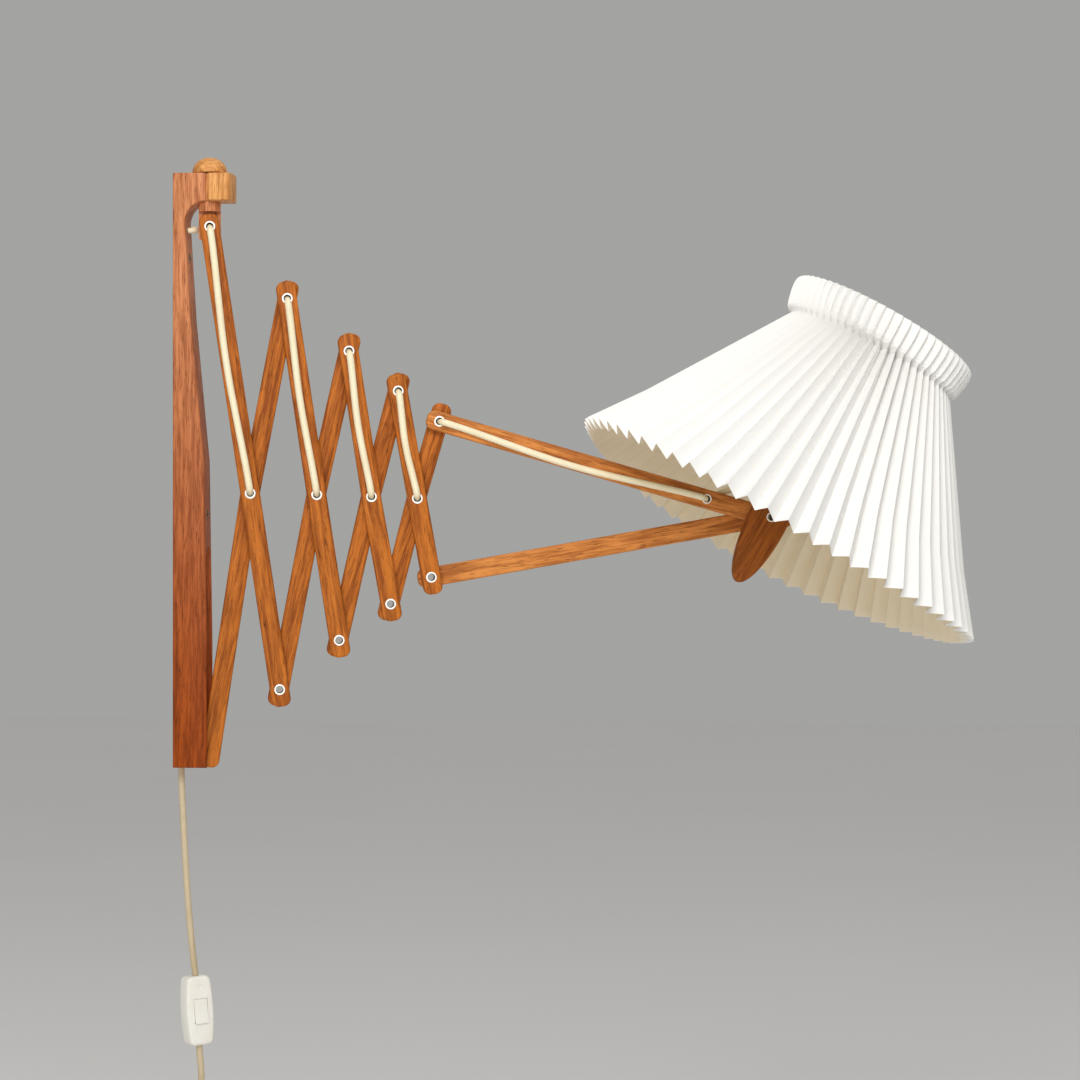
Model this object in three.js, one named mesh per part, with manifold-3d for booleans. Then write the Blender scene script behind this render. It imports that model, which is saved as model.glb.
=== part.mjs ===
// An accordion wall lamp: a wooden wall board, a pivoting post, four crossed pairs of bars,
// two long arms and a pleated shade. Millimetres, +Z up, +X out of the wall, origin on the wall.
import * as THREE from "three";
import { mergeVertices } from "three/addons/utils/BufferGeometryUtils.js";
import Module from "manifold-3d";

const wasm = await Module();
wasm.setup();

// Clearances.
const seatGap = 0.3;
const layerGap = 0.15;
const turnGap = 0.25;
const cordEndGap = 0.3;
const overrun = 3;
const weldDistance = 0.001;

// Wall board: depths from the wall, heights from its lower end.
const boardHeight = 549.6;
const boardWidth = 28;
const boardFootDepth = 31.8;
const boardFootHeight = 117.8;
const boardWaistDepth = 29.2;
const boardWaistDrop = 265.8;
const boardShoulderDepth = 16.9;
const boardShoulderDrop = 136.3;
const boardNeckDepth = 11.3;
const headThickness = 26;
const headSeam = 31.2;
const boardEdge = 1;
const boardBottom = -boardHeight / 2;
const boardTop = boardHeight / 2;
const boardWaistHeight = boardHeight - boardWaistDrop;
const boardShoulderHeight = boardHeight - boardShoulderDrop;

// Nose block in front of the board's head.
const noseDepth = 24;
const noseSideLength = 21.5;
const noseWidth = 34;
const noseThickness = 25.4;
const noseEdge = 1.2;

// Swivel post and knob.
const swivelX = 32;
const restSwivel = 12;
const postRadius = 10.2;
const postClearance = 0.3;
const postFoot = 11.8;
const lapAbove = 14.2;
const spigotRadius = 4;
const spigotLength = 8;
const knobRadius = 14.9;

// Foot groove of the board.
const grooveRadius = 11.6;
const grooveLength = 204;

// Bars of the scissor.
const barWidth = 18;
const barThickness = 10;
const barEdge = 1.3;
const barOverhang = 16;
const barTopOverhang = 11.9;
const backTopOverhang = 17.6;
const armOverhang = 12;
const barCorner = 7;
const footOverhang = 7.6;
const footRounding = 9.2;
const footRoundLength = 172;
const pivotDrop = 49.53;
const footPivotRise = 7.06;
const pivotHeight = boardTop - pivotDrop;
const frontLeans = [8.57, 8.5, 8.77, 10.13, 10.14];
const backLeans = [8.57, 10.73, 12.65, 14.2, 16.05];
const laterHalfLengths = [183.75, 136.71, 101.42, 74.66];
const firstHalfLength =
  (pivotHeight - boardBottom - footPivotRise) / 2 / Math.cos((frontLeans[0] * Math.PI) / 180);
const halfLengths = [firstHalfLength, ...laterHalfLengths];
const armLength = 324.7;
const eyeletFromEnd = 62.5;

// Tubular rivets.
const rivetOuter = 4;
const rivetBore = 3.5;
const rivetFlange = 5.4;
const rivetRim = 0.8;
const smallRivetOuter = 3.8;
const smallRivetBore = 3.35;
const smallRivetFlange = 4.7;
const openPivotPlay = 2.6;

// Cord along the bars.
const cordDiameter = 6;
const cordBend = 4.5;
const cordSag = 4.5;
const entryDrop = 52.4;
const entryHeight = boardTop - entryDrop;
const entryOut = 3.6;
const entrySide = 11.4;
const entryBack = 15.6;
const socketRiseShare = 0.55;
const socketBendShare = 0.9;

// Mains lead on and under the board.
const channelWidth = 7;
const channelDepth = 7;
const channelOffset = 8;
const channelBendHeight = 13.4;
const channelTop = entryHeight - channelBendHeight;
const leadWallClearance = 0.4;
const leadRoute = [
  [0, 275.1],
  [0.3, 290],
  [1.6, 320],
  [3.7, 360],
  [6.2, 399],
  [9.4, 435],
  [12.1, 460],
];
const leadRouteLower = [
  [17.5, 543],
  [18.6, 556],
  [18.8, 570],
  [17.4, 584],
  [14.6, 598],
  [10.9, 611],
  [8.6, 620],
];

// Inline switch.
const switchLength = 64;
const switchWidth = 26;
const switchDepth = 17.5;
const switchCorner = 4;
const switchEdge = 1.6;
const switchX = 18.4;
const switchHeight = 501.6;
const switchTurn = 37.3;
const switchTilt = 3.3;
const rockerLength = 22;
const rockerWidth = 13;
const rockerRise = 2.2;
const rockerDepth = 7;
const rockerGap = 0.4;
const rockerTilt = 5;

// Tied coil of the lead, below the part that the view shows.
const coilTurns = 6;
const coilInnerRadius = 24.9;
const coilPitch = 6.7;
const coilHeight = 629;
const coilWallGap = 2.1;
const tieWidth = 7;
const tieWall = 1.2;
const tieGap = 0.35;

// Plug.
const reliefLength = 26;
const reliefRadius = 6.2;
const plugLength = 36;
const plugWidth = 34;
const plugNeck = 18;
const plugThickness = 13.6;
const plugEdge = 2;
const pinRadius = 2;
const pinLength = 19;
const pinSpacing = 19;
const plugDrop = 30;

// Lamp head, in a frame at the end pivot that leans with the shade.
const headTilt = 30.4;
const leafHalfWidth = 19.2;
const leafLength = 65.5;
const leafShift = -0.8;
const leafTop = 40;
const cheekThickness = 8;
const leafEdge = 2;
const shadeOffset = 8.5;
const rearCheekDrop = 15;
const rearCheekSide = 13;
const webAbove = 21;
const webMargin = 2;
const holderRadius = 20.5;
const holderLength = 44;
const holderLip = 14;
const holderWall = 2.5;
const ringRadius = 27;
const ringThickness = 5;
const ringFromTop = 12;
const capRadius = 13;
const capLength = 24;
const capNeck = 12.3;
const bulbRadius = 29.5;
const bulbLength = 92;
const bulbShoulder = -46;

// Pleated shade.
const pleats = 63;
const pleatPhase = -1.3;
const rimRadius = 211.2;
const rimHeight = -20.4;
const rimStep = 6.7;
const rimWarp = 7;
const rimLean = 1.66;
const rimShift = 6.1;
const collarShift = -0.9;
const rimDepth = 11.6;
const neckRadius = 86.3;
const neckHeight = 181.2;
const neckDepth = 14.5;
const collarRadius = 90.8;
const collarLow = 184.8;
const collarHigh = 214.6;
const collarDepth = 12.5;
const paperThickness = 1.1;
const carrierHeight = 176;
const carrierWire = 2.4;
const carrierArms = 3;
const carrierGap = 0.6;

// Screws.
const screwHeadRadius = 4.2;
const screwHead = 2;
const screwRadius = 1.8;
const screwHole = 2.1;
const screwReach = 2;
const screwSlot = 1;
const upperScrewDrop = 77.6;
const upperScrewHeight = boardHeight - upperScrewDrop;
const lowerScrewHeight = 234.5;

// Facets.
const roundSides = 24;
const rivetSides = 12;
const cordSides = 8;

// Colours, roughness and metalness.
const wood = { color: 0xc98b4e, roughness: 0.5, metalness: 0 };
const paleWood = { color: 0xd8a468, roughness: 0.5, metalness: 0 };
const rivetMetal = { color: 0xe9e7e2, roughness: 0.35, metalness: 0.9 };
const screwMetal = { color: 0x8d877c, roughness: 0.4, metalness: 1 };
const ivory = { color: 0xe9e0c8, roughness: 0.45, metalness: 0 };
const beige = { color: 0xd9ccb0, roughness: 0.5, metalness: 0 };
const whitePlastic = { color: 0xf0ece2, roughness: 0.35, metalness: 0 };
const bulbGlass = { color: 0xfff6e4, roughness: 0.15, metalness: 0 };
const paper = { color: 0xfbf6ea, roughness: 0.6, metalness: 0 };
const capMetal = { color: 0xcfcfcb, roughness: 0.3, metalness: 1 };

const degree = Math.PI / 180;
const layer = layerGap + barThickness;
const rivetReach = layer + layerGap + rivetRim;
const cordRadius = cordDiameter / 2;

const lamp = new THREE.Group();
lamp.name = "accordion_wall_lamp";

function addMesh(parent, name, geometry, look) {
  const mesh = new THREE.Mesh(geometry, new THREE.MeshStandardMaterial(look));
  mesh.name = name;
  parent.add(mesh);
  return mesh;
}

function addGroup(parent, x, y, z) {
  const group = new THREE.Group();
  group.position.set(x, y, z);
  parent.add(group);
  return group;
}

// Joining and cutting closed geometries.
function toSolid(geometry) {
  const plain = new THREE.BufferGeometry();
  plain.setAttribute("position", geometry.getAttribute("position").clone());
  if (geometry.index) plain.setIndex(geometry.index.clone());
  const merged = mergeVertices(plain, weldDistance);
  return new wasm.Manifold(
    new wasm.Mesh({
      numProp: 3,
      vertProperties: new Float32Array(merged.attributes.position.array),
      triVerts: new Uint32Array(merged.index.array),
    }),
  );
}

function toGeometry(solid) {
  const mesh = solid.getMesh();
  const geometry = new THREE.BufferGeometry();
  const position = new THREE.BufferAttribute(new Float32Array(mesh.vertProperties), mesh.numProp);
  geometry.setAttribute("position", position);
  geometry.setIndex(new THREE.BufferAttribute(new Uint32Array(mesh.triVerts), 1));
  geometry.computeVertexNormals();
  return geometry;
}

function cut(geometry, ...tools) {
  return toGeometry(tools.reduce((body, tool) => body.subtract(toSolid(tool)), toSolid(geometry)));
}

function join(geometry, ...others) {
  return toGeometry(others.reduce((body, other) => body.add(toSolid(other)), toSolid(geometry)));
}

// An outline in X and Z with a thickness along Y, its edges eased.
function slab(shape, thickness, edge) {
  const geometry = new THREE.ExtrudeGeometry(shape, {
    depth: thickness - 2 * edge,
    bevelEnabled: edge > 0,
    bevelThickness: edge,
    bevelSize: edge,
    bevelOffset: -edge,
    bevelSegments: 1,
    curveSegments: 3,
  });
  geometry.translate(0, 0, edge - thickness / 2);
  geometry.rotateX(90 * degree);
  return geometry;
}

function box(fromX, toX, fromY, toY, fromZ, toZ) {
  const geometry = new THREE.BoxGeometry(toX - fromX, toY - fromY, toZ - fromZ);
  geometry.translate((fromX + toX) / 2, (fromY + toY) / 2, (fromZ + toZ) / 2);
  return geometry;
}

function rodY(radius, fromY, toY, sides) {
  const geometry = new THREE.CylinderGeometry(radius, radius, toY - fromY, sides);
  geometry.translate(0, (fromY + toY) / 2, 0);
  return geometry;
}

function rodZ(radius, fromZ, toZ, sides) {
  const geometry = new THREE.CylinderGeometry(radius, radius, toZ - fromZ, sides);
  geometry.rotateX(90 * degree);
  geometry.translate(0, 0, (fromZ + toZ) / 2);
  return geometry;
}

function rodX(radius, fromX, toX, sides) {
  const geometry = new THREE.CylinderGeometry(radius, radius, toX - fromX, sides);
  geometry.rotateZ(90 * degree);
  geometry.translate((fromX + toX) / 2, 0, 0);
  return geometry;
}

// A profile of [radius, height] pairs turned about Z.
function turned(profile, sides) {
  const geometry = new THREE.LatheGeometry(
    profile.map(([radius, height]) => new THREE.Vector2(radius, height)),
    sides,
  );
  geometry.rotateX(90 * degree);
  return geometry;
}

// A rounded polygon: each corner is [x, z, radius].
function roundedShape(corners) {
  const shape = new THREE.Shape();
  corners.forEach(([x, z, radius], i) => {
    const before = corners[(i + corners.length - 1) % corners.length];
    const after = corners[(i + 1) % corners.length];
    const corner = new THREE.Vector2(x, z);
    const back = new THREE.Vector2(before[0] - x, before[1] - z).normalize();
    const on = new THREE.Vector2(after[0] - x, after[1] - z).normalize();
    const half = Math.acos(THREE.MathUtils.clamp(back.dot(on), -1, 1)) / 2;
    if (radius <= 0 || half > 89 * degree) {
      if (i === 0) shape.moveTo(x, z);
      else shape.lineTo(x, z);
      return;
    }
    const reach = radius / Math.tan(half);
    const start = corner.clone().addScaledVector(back, reach);
    const end = corner.clone().addScaledVector(on, reach);
    if (i === 0) shape.moveTo(start.x, start.y);
    else shape.lineTo(start.x, start.y);
    const middle = back.clone().add(on).normalize();
    const centre = corner.clone().addScaledVector(middle, radius / Math.sin(half));
    const from = Math.atan2(start.y - centre.y, start.x - centre.x);
    const to = Math.atan2(end.y - centre.y, end.x - centre.x);
    let sweep = to - from;
    while (sweep > Math.PI) sweep -= 2 * Math.PI;
    while (sweep < -Math.PI) sweep += 2 * Math.PI;
    const steps = Math.max(2, Math.round(Math.abs(sweep) / (30 * degree)));
    for (let k = 1; k <= steps; k += 1) {
      const angle = from + (sweep * k) / steps;
      shape.lineTo(centre.x + radius * Math.cos(angle), centre.y + radius * Math.sin(angle));
    }
  });
  shape.closePath();
  return shape;
}

// A route through chosen stations, each with its own place and direction.
class StationCurve extends THREE.Curve {
  constructor(stations) {
    super();
    this.stations = stations;
  }
  getPoint(t, target = new THREE.Vector3()) {
    const last = this.stations.length - 1;
    const place = THREE.MathUtils.clamp(t, 0, 1) * last;
    const low = Math.min(Math.floor(place + 1e-6), last - 1);
    return target.lerpVectors(this.stations[low].point, this.stations[low + 1].point, place - low);
  }
  getPointAt(u, target) {
    return this.getPoint(u, target);
  }
  getTangent(t, target = new THREE.Vector3()) {
    const last = this.stations.length - 1;
    return target.copy(this.stations[Math.round(THREE.MathUtils.clamp(t, 0, 1) * last)].tangent);
  }
  getTangentAt(u, target) {
    return this.getTangent(u, target);
  }
}

// Stations of a polyline whose corners are rounded by the given bend.
function bentStations(points, bend, arcSteps) {
  const stations = [];
  const add = (point, tangent) => stations.push({ point, tangent: tangent.clone().normalize() });
  points.forEach((point, i) => {
    if (i === 0) {
      add(point.clone(), points[1].clone().sub(point));
      return;
    }
    if (i === points.length - 1) {
      add(point.clone(), point.clone().sub(points[i - 1]));
      return;
    }
    const arriving = point.clone().sub(points[i - 1]).normalize();
    const leaving = points[i + 1].clone().sub(point).normalize();
    const turn = arriving.angleTo(leaving);
    if (turn < 12 * degree) {
      add(point.clone(), arriving.clone().add(leaving));
      return;
    }
    const reach = bend * Math.tan(turn / 2);
    const start = point.clone().addScaledVector(arriving, -reach);
    const inward = leaving.clone().addScaledVector(arriving, -arriving.dot(leaving)).normalize();
    const centre = start.clone().addScaledVector(inward, bend);
    for (let k = 0; k <= arcSteps; k += 1) {
      const angle = (turn * k) / arcSteps;
      const place = centre
        .clone()
        .addScaledVector(inward, -bend * Math.cos(angle))
        .addScaledVector(arriving, bend * Math.sin(angle));
      const along = arriving.clone().multiplyScalar(Math.cos(angle));
      add(place, along.addScaledVector(inward, Math.sin(angle)));
    }
  });
  return stations;
}

function curveStations(points, steps, startTangent, endTangent) {
  const curve = new THREE.CatmullRomCurve3(points, false, "centripetal");
  const stations = [];
  for (let k = 0; k <= steps; k += 1) {
    stations.push({ point: curve.getPointAt(k / steps), tangent: curve.getTangentAt(k / steps) });
  }
  if (startTangent) stations[0].tangent = startTangent;
  if (endTangent) stations[steps].tangent = endTangent;
  return stations;
}

function cordAlong(stations, radius, sides) {
  const section = new THREE.Shape();
  for (let k = 0; k < sides; k += 1) {
    const angle = (2 * Math.PI * (k + 0.5)) / sides;
    if (k === 0) section.moveTo(radius * Math.cos(angle), radius * Math.sin(angle));
    else section.lineTo(radius * Math.cos(angle), radius * Math.sin(angle));
  }
  section.closePath();
  return new THREE.ExtrudeGeometry(section, {
    steps: stations.length - 1,
    extrudePath: new StationCurve(stations),
    bevelEnabled: false,
  });
}

const at = (x, y, z) => new THREE.Vector3(x, y, z);

// Depth of the board's front at a height above its lower end.
function boardFront(height) {
  const places = [
    [0, boardFootDepth],
    [boardFootHeight, boardFootDepth],
    [boardWaistHeight, boardWaistDepth],
    [boardShoulderHeight, boardShoulderDepth],
    [boardHeight - headThickness - headSeam + boardNeckDepth, boardNeckDepth],
  ];
  for (let i = 1; i < places.length; i += 1) {
    const [low, lowDepth] = places[i - 1];
    const [high, highDepth] = places[i];
    if (height <= high) return lowDepth + ((highDepth - lowDepth) * (height - low)) / (high - low);
  }
  return boardNeckDepth;
}

function postBore(clearance) {
  const bore = rodZ(
    postRadius + clearance,
    boardTop - headThickness - overrun,
    boardTop + overrun,
    roundSides,
  );
  bore.translate(swivelX, 0, 0);
  return bore;
}

function boardOutline() {
  const shape = new THREE.Shape();
  const cove = headSeam - boardNeckDepth;
  const underside = boardTop - headThickness;
  shape.moveTo(0, boardBottom);
  shape.lineTo(boardFootDepth, boardBottom);
  shape.lineTo(boardFootDepth, boardBottom + boardFootHeight);
  shape.lineTo(boardWaistDepth, boardBottom + boardWaistHeight);
  shape.lineTo(boardShoulderDepth, boardBottom + boardShoulderHeight);
  shape.lineTo(boardNeckDepth, underside - cove);
  const coveSteps = 6;
  for (let k = 1; k <= coveSteps; k += 1) {
    const angle = 180 * degree - (90 * degree * k) / coveSteps;
    shape.lineTo(headSeam + cove * Math.cos(angle), underside - cove + cove * Math.sin(angle));
  }
  shape.lineTo(headSeam, boardTop);
  shape.lineTo(0, boardTop);
  shape.closePath();
  return shape;
}

function grooveCut() {
  const top = boardBottom + grooveLength;
  const tool = turned(
    [
      [0, boardBottom - overrun],
      [grooveRadius, boardBottom - overrun],
      [grooveRadius, top - grooveRadius],
      [grooveRadius * Math.cos(30 * degree), top - grooveRadius * (1 - Math.sin(30 * degree))],
      [grooveRadius * Math.cos(60 * degree), top - grooveRadius * (1 - Math.sin(60 * degree))],
      [0, top],
    ],
    roundSides,
  );
  tool.translate(swivelX, 0, 0);
  return tool;
}

function channelCuts() {
  const half = channelWidth / 2;
  return [
    box(
      -overrun,
      channelDepth,
      channelOffset - half,
      channelOffset + half,
      boardBottom - overrun,
      channelTop + half,
    ),
    box(
      -overrun,
      channelDepth,
      -half,
      channelOffset + half,
      channelTop - half,
      entryHeight + half,
    ),
    rodX(half, -overrun, boardShoulderDepth, rivetSides * 2).translate(0, 0, entryHeight),
  ];
}

function screwCuts(height) {
  const seat = boardFront(height) - screwHead / 2;
  const place = boardBottom + height;
  return [
    rodX(screwHole, -overrun, boardFootDepth, rivetSides).translate(0, 0, place),
    rodX(screwHeadRadius + seatGap, seat, boardFootDepth + overrun, rivetSides * 2).translate(
      0,
      0,
      place,
    ),
  ];
}

function makeBoard() {
  const board = cut(
    slab(boardOutline(), boardWidth, boardEdge),
    postBore(postClearance),
    grooveCut(),
    ...channelCuts(),
    ...screwCuts(upperScrewHeight),
    ...screwCuts(lowerScrewHeight),
  );
  addMesh(lamp, "wall_board", board, wood);
}

function makeNose() {
  const half = noseWidth / 2;
  const chamfer = half - boardWidth / 2;
  const bow = noseDepth - noseSideLength;
  const shape = new THREE.Shape();
  shape.moveTo(0, -half + chamfer);
  shape.lineTo(chamfer, -half);
  shape.lineTo(noseSideLength, -half);
  const bowSteps = 8;
  for (let k = 1; k < bowSteps; k += 1) {
    const angle = -90 * degree + (180 * degree * k) / bowSteps;
    shape.lineTo(noseSideLength + bow * Math.cos(angle), half * Math.sin(angle));
  }
  shape.lineTo(noseSideLength, half);
  shape.lineTo(chamfer, half);
  shape.lineTo(0, half - chamfer);
  shape.closePath();
  const geometry = new THREE.ExtrudeGeometry(shape, {
    depth: noseThickness - 2 * noseEdge,
    bevelThickness: noseEdge,
    bevelSize: noseEdge,
    bevelOffset: -noseEdge,
    bevelSegments: 1,
  });
  geometry.translate(headSeam, 0, boardTop - headThickness + noseEdge);
  addMesh(lamp, "nose_block", cut(geometry, postBore(postClearance)), paleWood);
}

function makeScrew(name, height) {
  const seat = boardFront(height) - screwHead / 2 + seatGap / 2;
  const profile = [
    [0, -seat + screwReach],
    [screwRadius, -seat + screwReach],
    [screwRadius, 0],
    [screwHeadRadius, 0],
    [screwHeadRadius, screwHead / 2],
    [screwHeadRadius / 2, screwHead],
    [0, screwHead],
  ];
  const slot = box(
    -screwSlot / 2,
    screwSlot / 2,
    -screwHeadRadius * 2,
    screwHeadRadius * 2,
    screwHead / 2,
    screwHead * 2,
  );
  const geometry = cut(turned(profile, rivetSides), slot);
  const screw = addMesh(lamp, name, geometry, screwMetal);
  screw.position.set(seat, 0, boardBottom + height);
  screw.rotation.y = 90 * degree;
}

// Swivelling group on the post's axis.
const swivel = addGroup(lamp, swivelX, 0, 0);
swivel.rotation.z = restSwivel * degree;

function makePost() {
  const top = boardTop;
  const body = turned(
    [
      [0, pivotHeight - postFoot],
      [postRadius, pivotHeight - postFoot],
      [postRadius, top],
      [spigotRadius, top],
      [spigotRadius, top + spigotLength],
      [0, top + spigotLength],
    ],
    roundSides,
  );
  const lap = box(
    -postRadius - overrun,
    postRadius + overrun,
    -postRadius - overrun,
    layerGap,
    pivotHeight - postFoot - overrun,
    pivotHeight + lapAbove,
  );
  const bore = rodY(rivetOuter + turnGap, -overrun, postRadius + overrun, rivetSides);
  bore.translate(0, 0, pivotHeight);
  addMesh(swivel, "swivel_post", cut(body, lap, bore), wood);
}

function makeKnob() {
  const socket = spigotRadius + seatGap;
  const depth = spigotLength;
  const profile = [
    [0, depth],
    [socket, depth],
    [socket, 0],
    [knobRadius, 0],
  ];
  const arcSteps = 6;
  for (let k = 1; k < arcSteps; k += 1) {
    const angle = (90 * degree * k) / arcSteps;
    profile.push([knobRadius * Math.cos(angle), knobRadius * Math.sin(angle)]);
  }
  profile.push([0, knobRadius]);
  const knob = addMesh(swivel, "swivel_knob", turned(profile, roundSides), wood);
  knob.position.z = boardTop + seatGap;
}

// Pivot places in the plane of the linkage: x outward and z up.
function linkagePivots() {
  const sin = (a) => Math.sin(a * degree);
  const cos = (a) => Math.cos(a * degree);
  const t = [[0, pivotHeight]];
  const c = [[halfLengths[0] * sin(frontLeans[0]), pivotHeight - halfLengths[0] * cos(frontLeans[0])]];
  const b = [[0, pivotHeight - 2 * halfLengths[0] * cos(frontLeans[0])]];
  for (let k = 1; k < halfLengths.length; k += 1) {
    const [x, z] = c[k - 1];
    const side = halfLengths[k];
    t.push([x + side * sin(backLeans[k]), z + side * cos(backLeans[k])]);
    b.push([x + side * sin(frontLeans[k]), z - side * cos(frontLeans[k])]);
    c.push([t[k][0] + b[k][0] - x, t[k][1] + b[k][1] - z]);
  }
  const last = halfLengths.length - 1;
  const dx = t[last][0] - b[last][0];
  const dz = t[last][1] - b[last][1];
  const span = Math.hypot(dx, dz);
  const reach = Math.sqrt(armLength ** 2 - (span / 2) ** 2);
  const end = [
    (t[last][0] + b[last][0]) / 2 + (dz / span) * reach,
    (t[last][1] + b[last][1]) / 2 - (dx / span) * reach,
  ];
  return { t, b, c, end };
}

const pivots = linkagePivots();
const bars = halfLengths.length - 1;

function rivet(outer, bore, flange, fromY, toY) {
  const low = fromY - layerGap - rivetRim;
  const high = toY + layerGap + rivetRim;
  const profile = [
    [bore, low],
    [flange - rivetRim / 2, low],
    [flange, low + rivetRim],
    [outer, low + rivetRim],
    [outer, high - rivetRim],
    [flange, high - rivetRim],
    [flange - rivetRim / 2, high],
    [bore, high],
    [bore, low],
  ];
  return new THREE.LatheGeometry(
    profile.map(([radius, height]) => new THREE.Vector2(radius, height)),
    rivetSides,
  );
}

function addRivet(name, place) {
  const geometry = rivet(rivetOuter, rivetBore, rivetFlange, -layer, layer);
  addMesh(swivel, name, geometry, rivetMetal).position.set(place[0], 0, place[1]);
}

function pivotHole(x, z, radius) {
  const hole = rodY(radius, -layer - overrun, layer + overrun, rivetSides);
  hole.translate(x, 0, z);
  return hole;
}

// A bar with its middle pivot at the origin, its upper part along +Z and its lower part bent by kink.
function barBody(up, down, kink, overTop, overBottom) {
  const half = barWidth / 2;
  const direction = (angle) => [Math.sin(angle * degree), Math.cos(angle * degree)];
  const [lx, lz] = direction(kink);
  const place = (along, side, x, z) => [along * x + side * z, along * z - side * x];
  const topEnd = up + overTop;
  const lowEnd = -(down + overBottom);
  const joint = half * Math.tan((kink / 2) * degree);
  const corners = [
    [half, topEnd, barCorner],
    [half, joint, 0],
    [...place(lowEnd, half, lx, lz), barCorner],
    [...place(lowEnd, -half, lx, lz), barCorner],
    [-half, -joint, 0],
    [-half, topEnd, barCorner],
  ];
  return slab(roundedShape(corners), barThickness, barEdge);
}

function barHoles(up, down, kink, radii) {
  const lowX = -down * Math.sin(kink * degree);
  const lowZ = -down * Math.cos(kink * degree);
  const places = [
    [0, up],
    [0, 0],
    [lowX, lowZ],
  ];
  return places.flatMap(([x, z], i) => (radii[i] > 0 ? [pivotHole(x, z, radii[i])] : []));
}

function makeFrontBar(k) {
  const up = halfLengths[k - 1];
  const down = halfLengths[k];
  const kink = frontLeans[k - 1] - frontLeans[k];
  const hole = rivetOuter + turnGap;
  const overTop = k === 1 ? barTopOverhang : barOverhang;
  const body = barBody(up, down, kink, overTop, barOverhang);
  body.translate(0, -layerGap - barThickness / 2, 0);
  const geometry = cut(body, ...barHoles(up, down, kink, [hole, hole, hole]));
  const bar = addMesh(swivel, "front_bar_" + k, geometry, wood);
  bar.position.set(pivots.c[k - 1][0], 0, pivots.c[k - 1][1]);
  bar.rotation.y = -frontLeans[k - 1] * degree;
}

// Rounds the far side of the first back bar, which turns inside the board's groove.
function roundedFoot(body, down) {
  const tall = footRoundLength;
  const low = -down - footOverhang - overrun;
  const keep = rodZ(footRounding, low - overrun, low + tall + overrun, roundSides);
  const wide = box(-barWidth, barWidth, -barWidth, barWidth, low, low + tall);
  const shell = toSolid(wide).subtract(toSolid(keep));
  return toGeometry(toSolid(body).subtract(shell));
}

function makeBackBar(k) {
  const up = halfLengths[k];
  const down = halfLengths[k - 1];
  const kink = backLeans[k - 1] - backLeans[k];
  const hole = rivetOuter + turnGap;
  const first = k === 1;
  const overBottom = first ? footOverhang : barOverhang;
  const body = barBody(up, down, kink, backTopOverhang, overBottom);
  body.translate(0, layerGap + barThickness / 2, 0);
  let geometry = cut(body, ...barHoles(up, down, kink, [hole, hole, first ? 0 : hole]));
  if (first) {
    geometry.rotateY(-kink * degree);
    geometry = roundedFoot(geometry, down);
    geometry.rotateY(kink * degree);
  }
  const bar = addMesh(swivel, "back_bar_" + k, geometry, wood);
  bar.position.set(pivots.c[k - 1][0], 0, pivots.c[k - 1][1]);
  bar.rotation.y = backLeans[k] * degree;
}

// A long arm with its pivot on the scissor at the origin, running along +X.
function armBody(side, farHole, middleHole) {
  const half = barWidth / 2;
  const outline = roundedShape([
    [-armOverhang, -half, barCorner],
    [armLength + barOverhang, -half, barCorner],
    [armLength + barOverhang, half, barCorner],
    [-armOverhang, half, barCorner],
  ]);
  const body = slab(outline, barThickness, barEdge);
  body.translate(0, side * (layerGap + barThickness / 2), 0);
  const holes = [pivotHole(0, 0, rivetOuter + turnGap), pivotHole(armLength, 0, farHole)];
  if (middleHole > 0) holes.push(pivotHole(armLength - eyeletFromEnd, 0, middleHole));
  return cut(body, ...holes);
}

function armAngle(from) {
  return Math.atan2(pivots.end[1] - from[1], pivots.end[0] - from[0]);
}

function makeArms() {
  const snug = smallRivetOuter + turnGap;
  const upper = addGroup(swivel, pivots.t[bars][0], 0, pivots.t[bars][1]);
  upper.rotation.y = -armAngle(pivots.t[bars]);
  addMesh(upper, "upper_arm", armBody(-1, snug, snug), wood);
  const eyelet = rivet(smallRivetOuter, smallRivetBore, smallRivetFlange, -layer, -layerGap);
  addMesh(upper, "rivet_arm_eyelet", eyelet, rivetMetal).position.x = armLength - eyeletFromEnd;
  const cheek = layer + seatGap + cheekThickness;
  const end = rivet(smallRivetOuter, smallRivetBore, smallRivetFlange, -cheek, cheek);
  addMesh(upper, "rivet_end", end, rivetMetal).position.x = armLength;
  makeArmCord(upper);
  const lower = addGroup(swivel, pivots.b[bars][0], 0, pivots.b[bars][1]);
  lower.rotation.y = -armAngle(pivots.b[bars]);
  const loose = smallRivetOuter + turnGap + openPivotPlay;
  addMesh(lower, "lower_arm", armBody(1, loose, 0), wood);
}

// A cord over one face of a bar, from the bore at start to the bore at end.
function overBar(start, end, side, sag) {
  const [sx, sz] = start;
  const [ex, ez] = end;
  const length = Math.hypot(ex - sx, ez - sz);
  const ux = (ex - sx) / length;
  const uz = (ez - sz) / length;
  const high = rivetReach + cordBend;
  const low = layer + cordRadius + seatGap;
  const point = (along, y, drop) => at(sx + ux * along + uz * drop, side * y, sz + uz * along - ux * drop);
  const settle = cordBend * 4;
  return bentStations(
    [
      point(0, cordEndGap, 0),
      point(0, high, 0),
      point(settle * 0.62, (high + low) / 2, sag / 8),
      point(settle, low, sag / 4),
      point(length * 0.3, low, sag * 0.8),
      point(length * 0.5, low, sag),
      point(length * 0.7, low, sag * 0.8),
      point(length - settle, low, sag / 4),
      point(length - settle * 0.62, (high + low) / 2, sag / 8),
      point(length, high, 0),
      point(length, cordEndGap, 0),
    ],
    cordBend,
    3,
  );
}

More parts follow.
